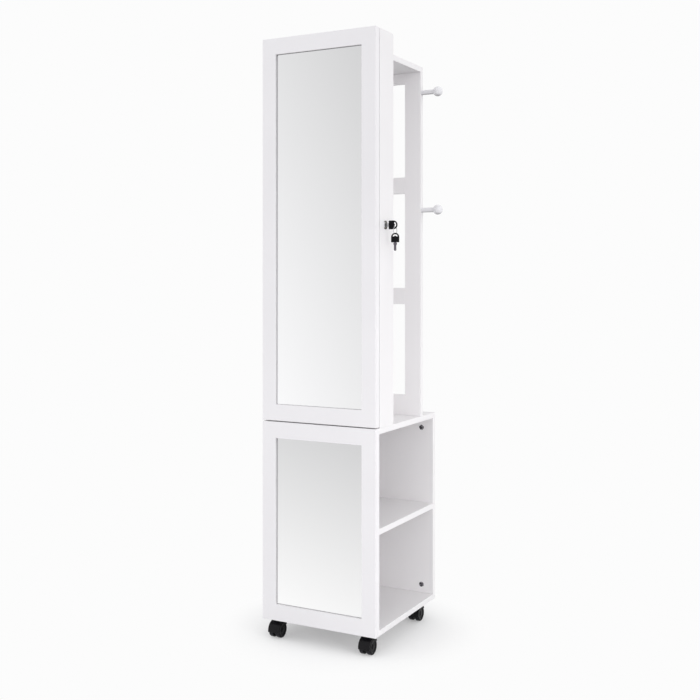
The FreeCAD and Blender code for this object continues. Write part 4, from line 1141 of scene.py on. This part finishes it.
@dataclass
class RingCushion(SubAssembly):
    """Velvet rolls on a padded back, between which rings are pushed."""

    node: str = "ring_cushion"
    rolls: int = 6
    around: int = 26
    along: int = 64
    seam: float = 0.0006
    swell: float = 0.0016
    end_power: float = 9.0
    gathers: int = 13
    gather_depth: float = 0.0005
    gather_reach: float = 0.022
    gather_limit: float = 0.8
    gather_hub: float = 4.0
    back_share: float = 0.3
    back_edge: float = 0.002
    back_steps: int = 4
    back_fill: float = 1.0
    merge: float = 0.000005
    no_crease: float = 180.0
    pressure: float = 4.0
    quality: int = 4
    steps: int = 20
    slack: float = -0.02
    roll_fill: float = 0.8

    def build(self) -> None:
        """Make the padded back and the rolls."""
        self.build_back()
        low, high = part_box(self.node)
        pitch = (high.z - low.z) / self.rolls
        for number in range(self.rolls):
            self.build_roll(number, low.z + pitch * number + pitch / 2, pitch)

    def build_back(self) -> None:
        """Velvet-covered pad behind the rolls."""
        low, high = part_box(self.node)
        size = high - low
        depth = size.y * self.back_share
        shape = bmesh.new()
        bmesh.ops.create_cube(shape, size=1.0)
        block = (size.x - self.seam, depth, size.z - self.seam)
        bmesh.ops.scale(shape, verts=shape.verts, vec=block)
        middle = (low + high) / 2
        bmesh.ops.translate(
            shape, verts=shape.verts, vec=(middle.x, high.y - depth / 2, middle.z)
        )
        bmesh.ops.bevel(
            shape,
            geom=shape.edges[:],
            offset=self.back_edge,
            offset_type="OFFSET",
            segments=self.back_steps,
            profile=ROUND_PROFILE,
            affect="EDGES",
            material=-1,
        )
        back = keep_piece("ring_cushion_back", shape, "cabinet")
        self.declare(back, self.back_fill)

    def build_roll(self, number: int, height: float, pitch: float) -> None:
        """Sew and fill one roll.

        Args:
            number: Which roll, counted from the lowest.
            height: Height of its middle line in metres.
            pitch: Distance between rolls in metres.
        """
        low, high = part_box(self.node)
        half_length = (high.x - low.x) / 2 - self.swell
        half_height = pitch / 2 - self.seam
        half_depth = (high.y - low.y) / 2 - self.swell
        shape = bmesh.new()
        line = []
        for step in range(self.along + 1):
            share = -math.cos(math.pi * step / self.along)
            radius = half_height * math.sqrt(1 - abs(share) ** self.end_power)
            line.append(shape.verts.new((share * half_length, 0.0, radius)))
        edges = [shape.edges.new(pair) for pair in zip(line, line[1:])]
        bmesh.ops.spin(
            shape,
            geom=line + edges,
            cent=(0, 0, 0),
            axis=(1, 0, 0),
            dvec=(0, 0, 0),
            angle=math.tau,
            steps=self.around,
            use_merge=True,
            use_duplicate=False,
        )
        bmesh.ops.remove_doubles(shape, verts=shape.verts, dist=self.merge)
        bmesh.ops.recalc_face_normals(shape, faces=shape.faces)
        self.gather_ends(shape, half_length, number)
        bmesh.ops.scale(shape, verts=shape.verts, vec=(1.0, half_depth / half_height, 1.0))
        middle = (low + high) / 2
        bmesh.ops.translate(shape, verts=shape.verts, vec=(middle.x, middle.y, height))
        roll = keep_piece(f"ring_roll_{number + 1}", shape, "cabinet", self.no_crease)
        self.fill(roll)
        smooth = roll.modifiers.new("soft_cover", "SUBSURF")
        smooth.levels = smooth.render_levels = 1
        self.declare(roll, self.roll_fill)

    def gather_ends(self, shape: bmesh.types.BMesh, half_length: float, number: int) -> None:
        """Pull small folds into the two sewn ends of a roll.

        Args:
            shape: The roll before it is filled.
            half_length: Half of its length in metres.
            number: Which roll, so that the folds of neighbours differ.
        """
        for corner in shape.verts:
            end = 1 - (half_length - abs(corner.co.x)) / self.gather_reach
            if end <= 0:
                continue
            turn = math.atan2(corner.co.z, corner.co.y)
            wave = math.sin(turn * self.gathers + number)
            fold = wave * self.gather_depth * min(end, self.gather_limit)
            around = Vector((0.0, corner.co.y, corner.co.z))
            if around.length > self.gather_depth * self.gather_hub:
                corner.co += around.normalized() * fold

    def fill(self, roll: bpy.types.Object) -> None:
        """Swell a roll with cloth pressure and keep what comes out.

        Args:
            roll: The roll, whose mesh is changed here.
        """
        start = [corner.co.copy() for corner in roll.data.vertices]
        cloth = roll.modifiers.new("filling", "CLOTH")
        cloth.settings.quality = self.quality
        cloth.settings.use_pressure = True
        cloth.settings.uniform_pressure_force = self.pressure
        cloth.settings.shrink_min = self.slack
        cloth.settings.effector_weights.gravity = 0.0
        cloth.collision_settings.use_collision = False
        cloth.point_cache.frame_start = 1
        cloth.point_cache.frame_end = self.steps
        scene = bpy.context.scene
        for moment in range(1, self.steps + 1):
            scene.frame_set(moment)
        swollen = roll.evaluated_get(bpy.context.evaluated_depsgraph_get()).data
        moved = [corner.co.copy() for corner in swollen.vertices]
        roll.modifiers.remove(cloth)
        scene.frame_set(1)
        for corner, before, after in zip(roll.data.vertices, start, moved):
            way = after - before
            if way.length > self.swell:
                way = way.normalized() * self.swell
            corner.co = before + way

    def declare(self, item: bpy.types.Object, fill: float) -> None:
        """Hide the cushion node and give a padded piece its velvet.

        Args:
            item: The padded piece.
            fill: How full it is, from 0 for slack to 1 for tight; not used.
        """
        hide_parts(self.node)
        self.wardrobe.dress(item, Finish.VELVET)


@dataclass
class JewelleryCase(SubAssembly):
    """Case behind the mirror door, with its rails, shelves, lining and cushion."""

    boards: tuple[str, ...] = (
        "case_left_side",
        "case_right_side",
        "case_top",
        "case_bottom",
        "case_back",
        "necklace_rail",
        "necklace_hooks",
        "earring_rails",
        "tray_shelves",
    )

    def build(self) -> None:
        """Dress the boards and put in the velvet."""
        self.dress(self.boards)
        VelvetLining(self.wardrobe, self.slots).build()
        RingCushion(self.wardrobe, self.slots).build()


@dataclass
class CoatRack(SubAssembly):
    """Rack with pegs behind the case."""

    boards: tuple[str, ...] = ("rack_top_board", "rack_stiles", "rack_rails")
    pegs: str = "coat_pegs"

    def build(self) -> None:
        """Dress the boards and lacquer the pegs."""
        self.dress(self.boards)
        self.wardrobe.dress(frame["nodes"][self.pegs], Finish.PEG_LACQUER)


@dataclass
class LockAndKeys(SubAssembly):
    """Cam lock with one key in it and a spare key on the ring."""

    metal: tuple[str, ...] = ("lock_housing", "lock_cam", "key_blade", "key_ring")
    plug: str = "lock_plug"
    spare_blade: str = "spare_key_blade"
    bows: tuple[str, ...] = ("key_bow", "spare_key_bow")
    bow_edge: float = 0.0004

    def build(self) -> None:
        """Dress the metal and round the moulded bows."""
        self.dress(self.metal)
        # The plug is painted dark: painted shade round the key's collar.
        self.wardrobe.dress(frame["nodes"][self.plug], Finish.SHADED_PLUG_STEEL)
        # The spare blade gets the darker copy of the key steel: painted shade.
        self.wardrobe.dress(frame["nodes"][self.spare_blade], Finish.SHADED_KEY_STEEL)
        for node in self.bows:
            self.soften(node, f"{node}_moulding", self.bow_edge, Finish.KEY_PLASTIC)


@dataclass
class Casters(SubAssembly):
    """Four twin-wheel swivel casters."""

    corners: tuple[str, ...] = ("front_left", "front_right", "rear_left", "rear_right")
    wheels: tuple[str, ...] = ("left", "right")
    hood_edge: float = 0.0007
    wheel_edge: float = 0.0006

    def build(self) -> None:
        """Dress the steel and round the moulded hoods and wheels."""
        self.dress(["caster_plates", "caster_screws"])
        for corner in self.corners:
            self.dress([f"caster_axle_{corner}"])
            hood = f"caster_hood_{corner}"
            self.soften(hood, f"hood_{corner}", self.hood_edge, Finish.CASTER_NYLON)
            for side in self.wheels:
                wheel, tread = f"wheel_{corner}_{side}", f"tread_{corner}_{side}"
                self.soften(wheel, tread, self.wheel_edge, Finish.WHEEL_NYLON)


def main() -> None:
    """Build the studio and dress the cabinet, piece by piece."""
    logging.basicConfig(level=logging.INFO, format="%(name)s: %(message)s")
    wardrobe = Wardrobe()
    slots = {row["node"]: row["material_slot"] for row in frame["record"]["subparts"]}
    Studio().build()
    for part in (Base, Door, JewelleryCase, CoatRack, LockAndKeys, Casters):
        part(wardrobe, slots).build()


if __name__ == "__main__":
    main()
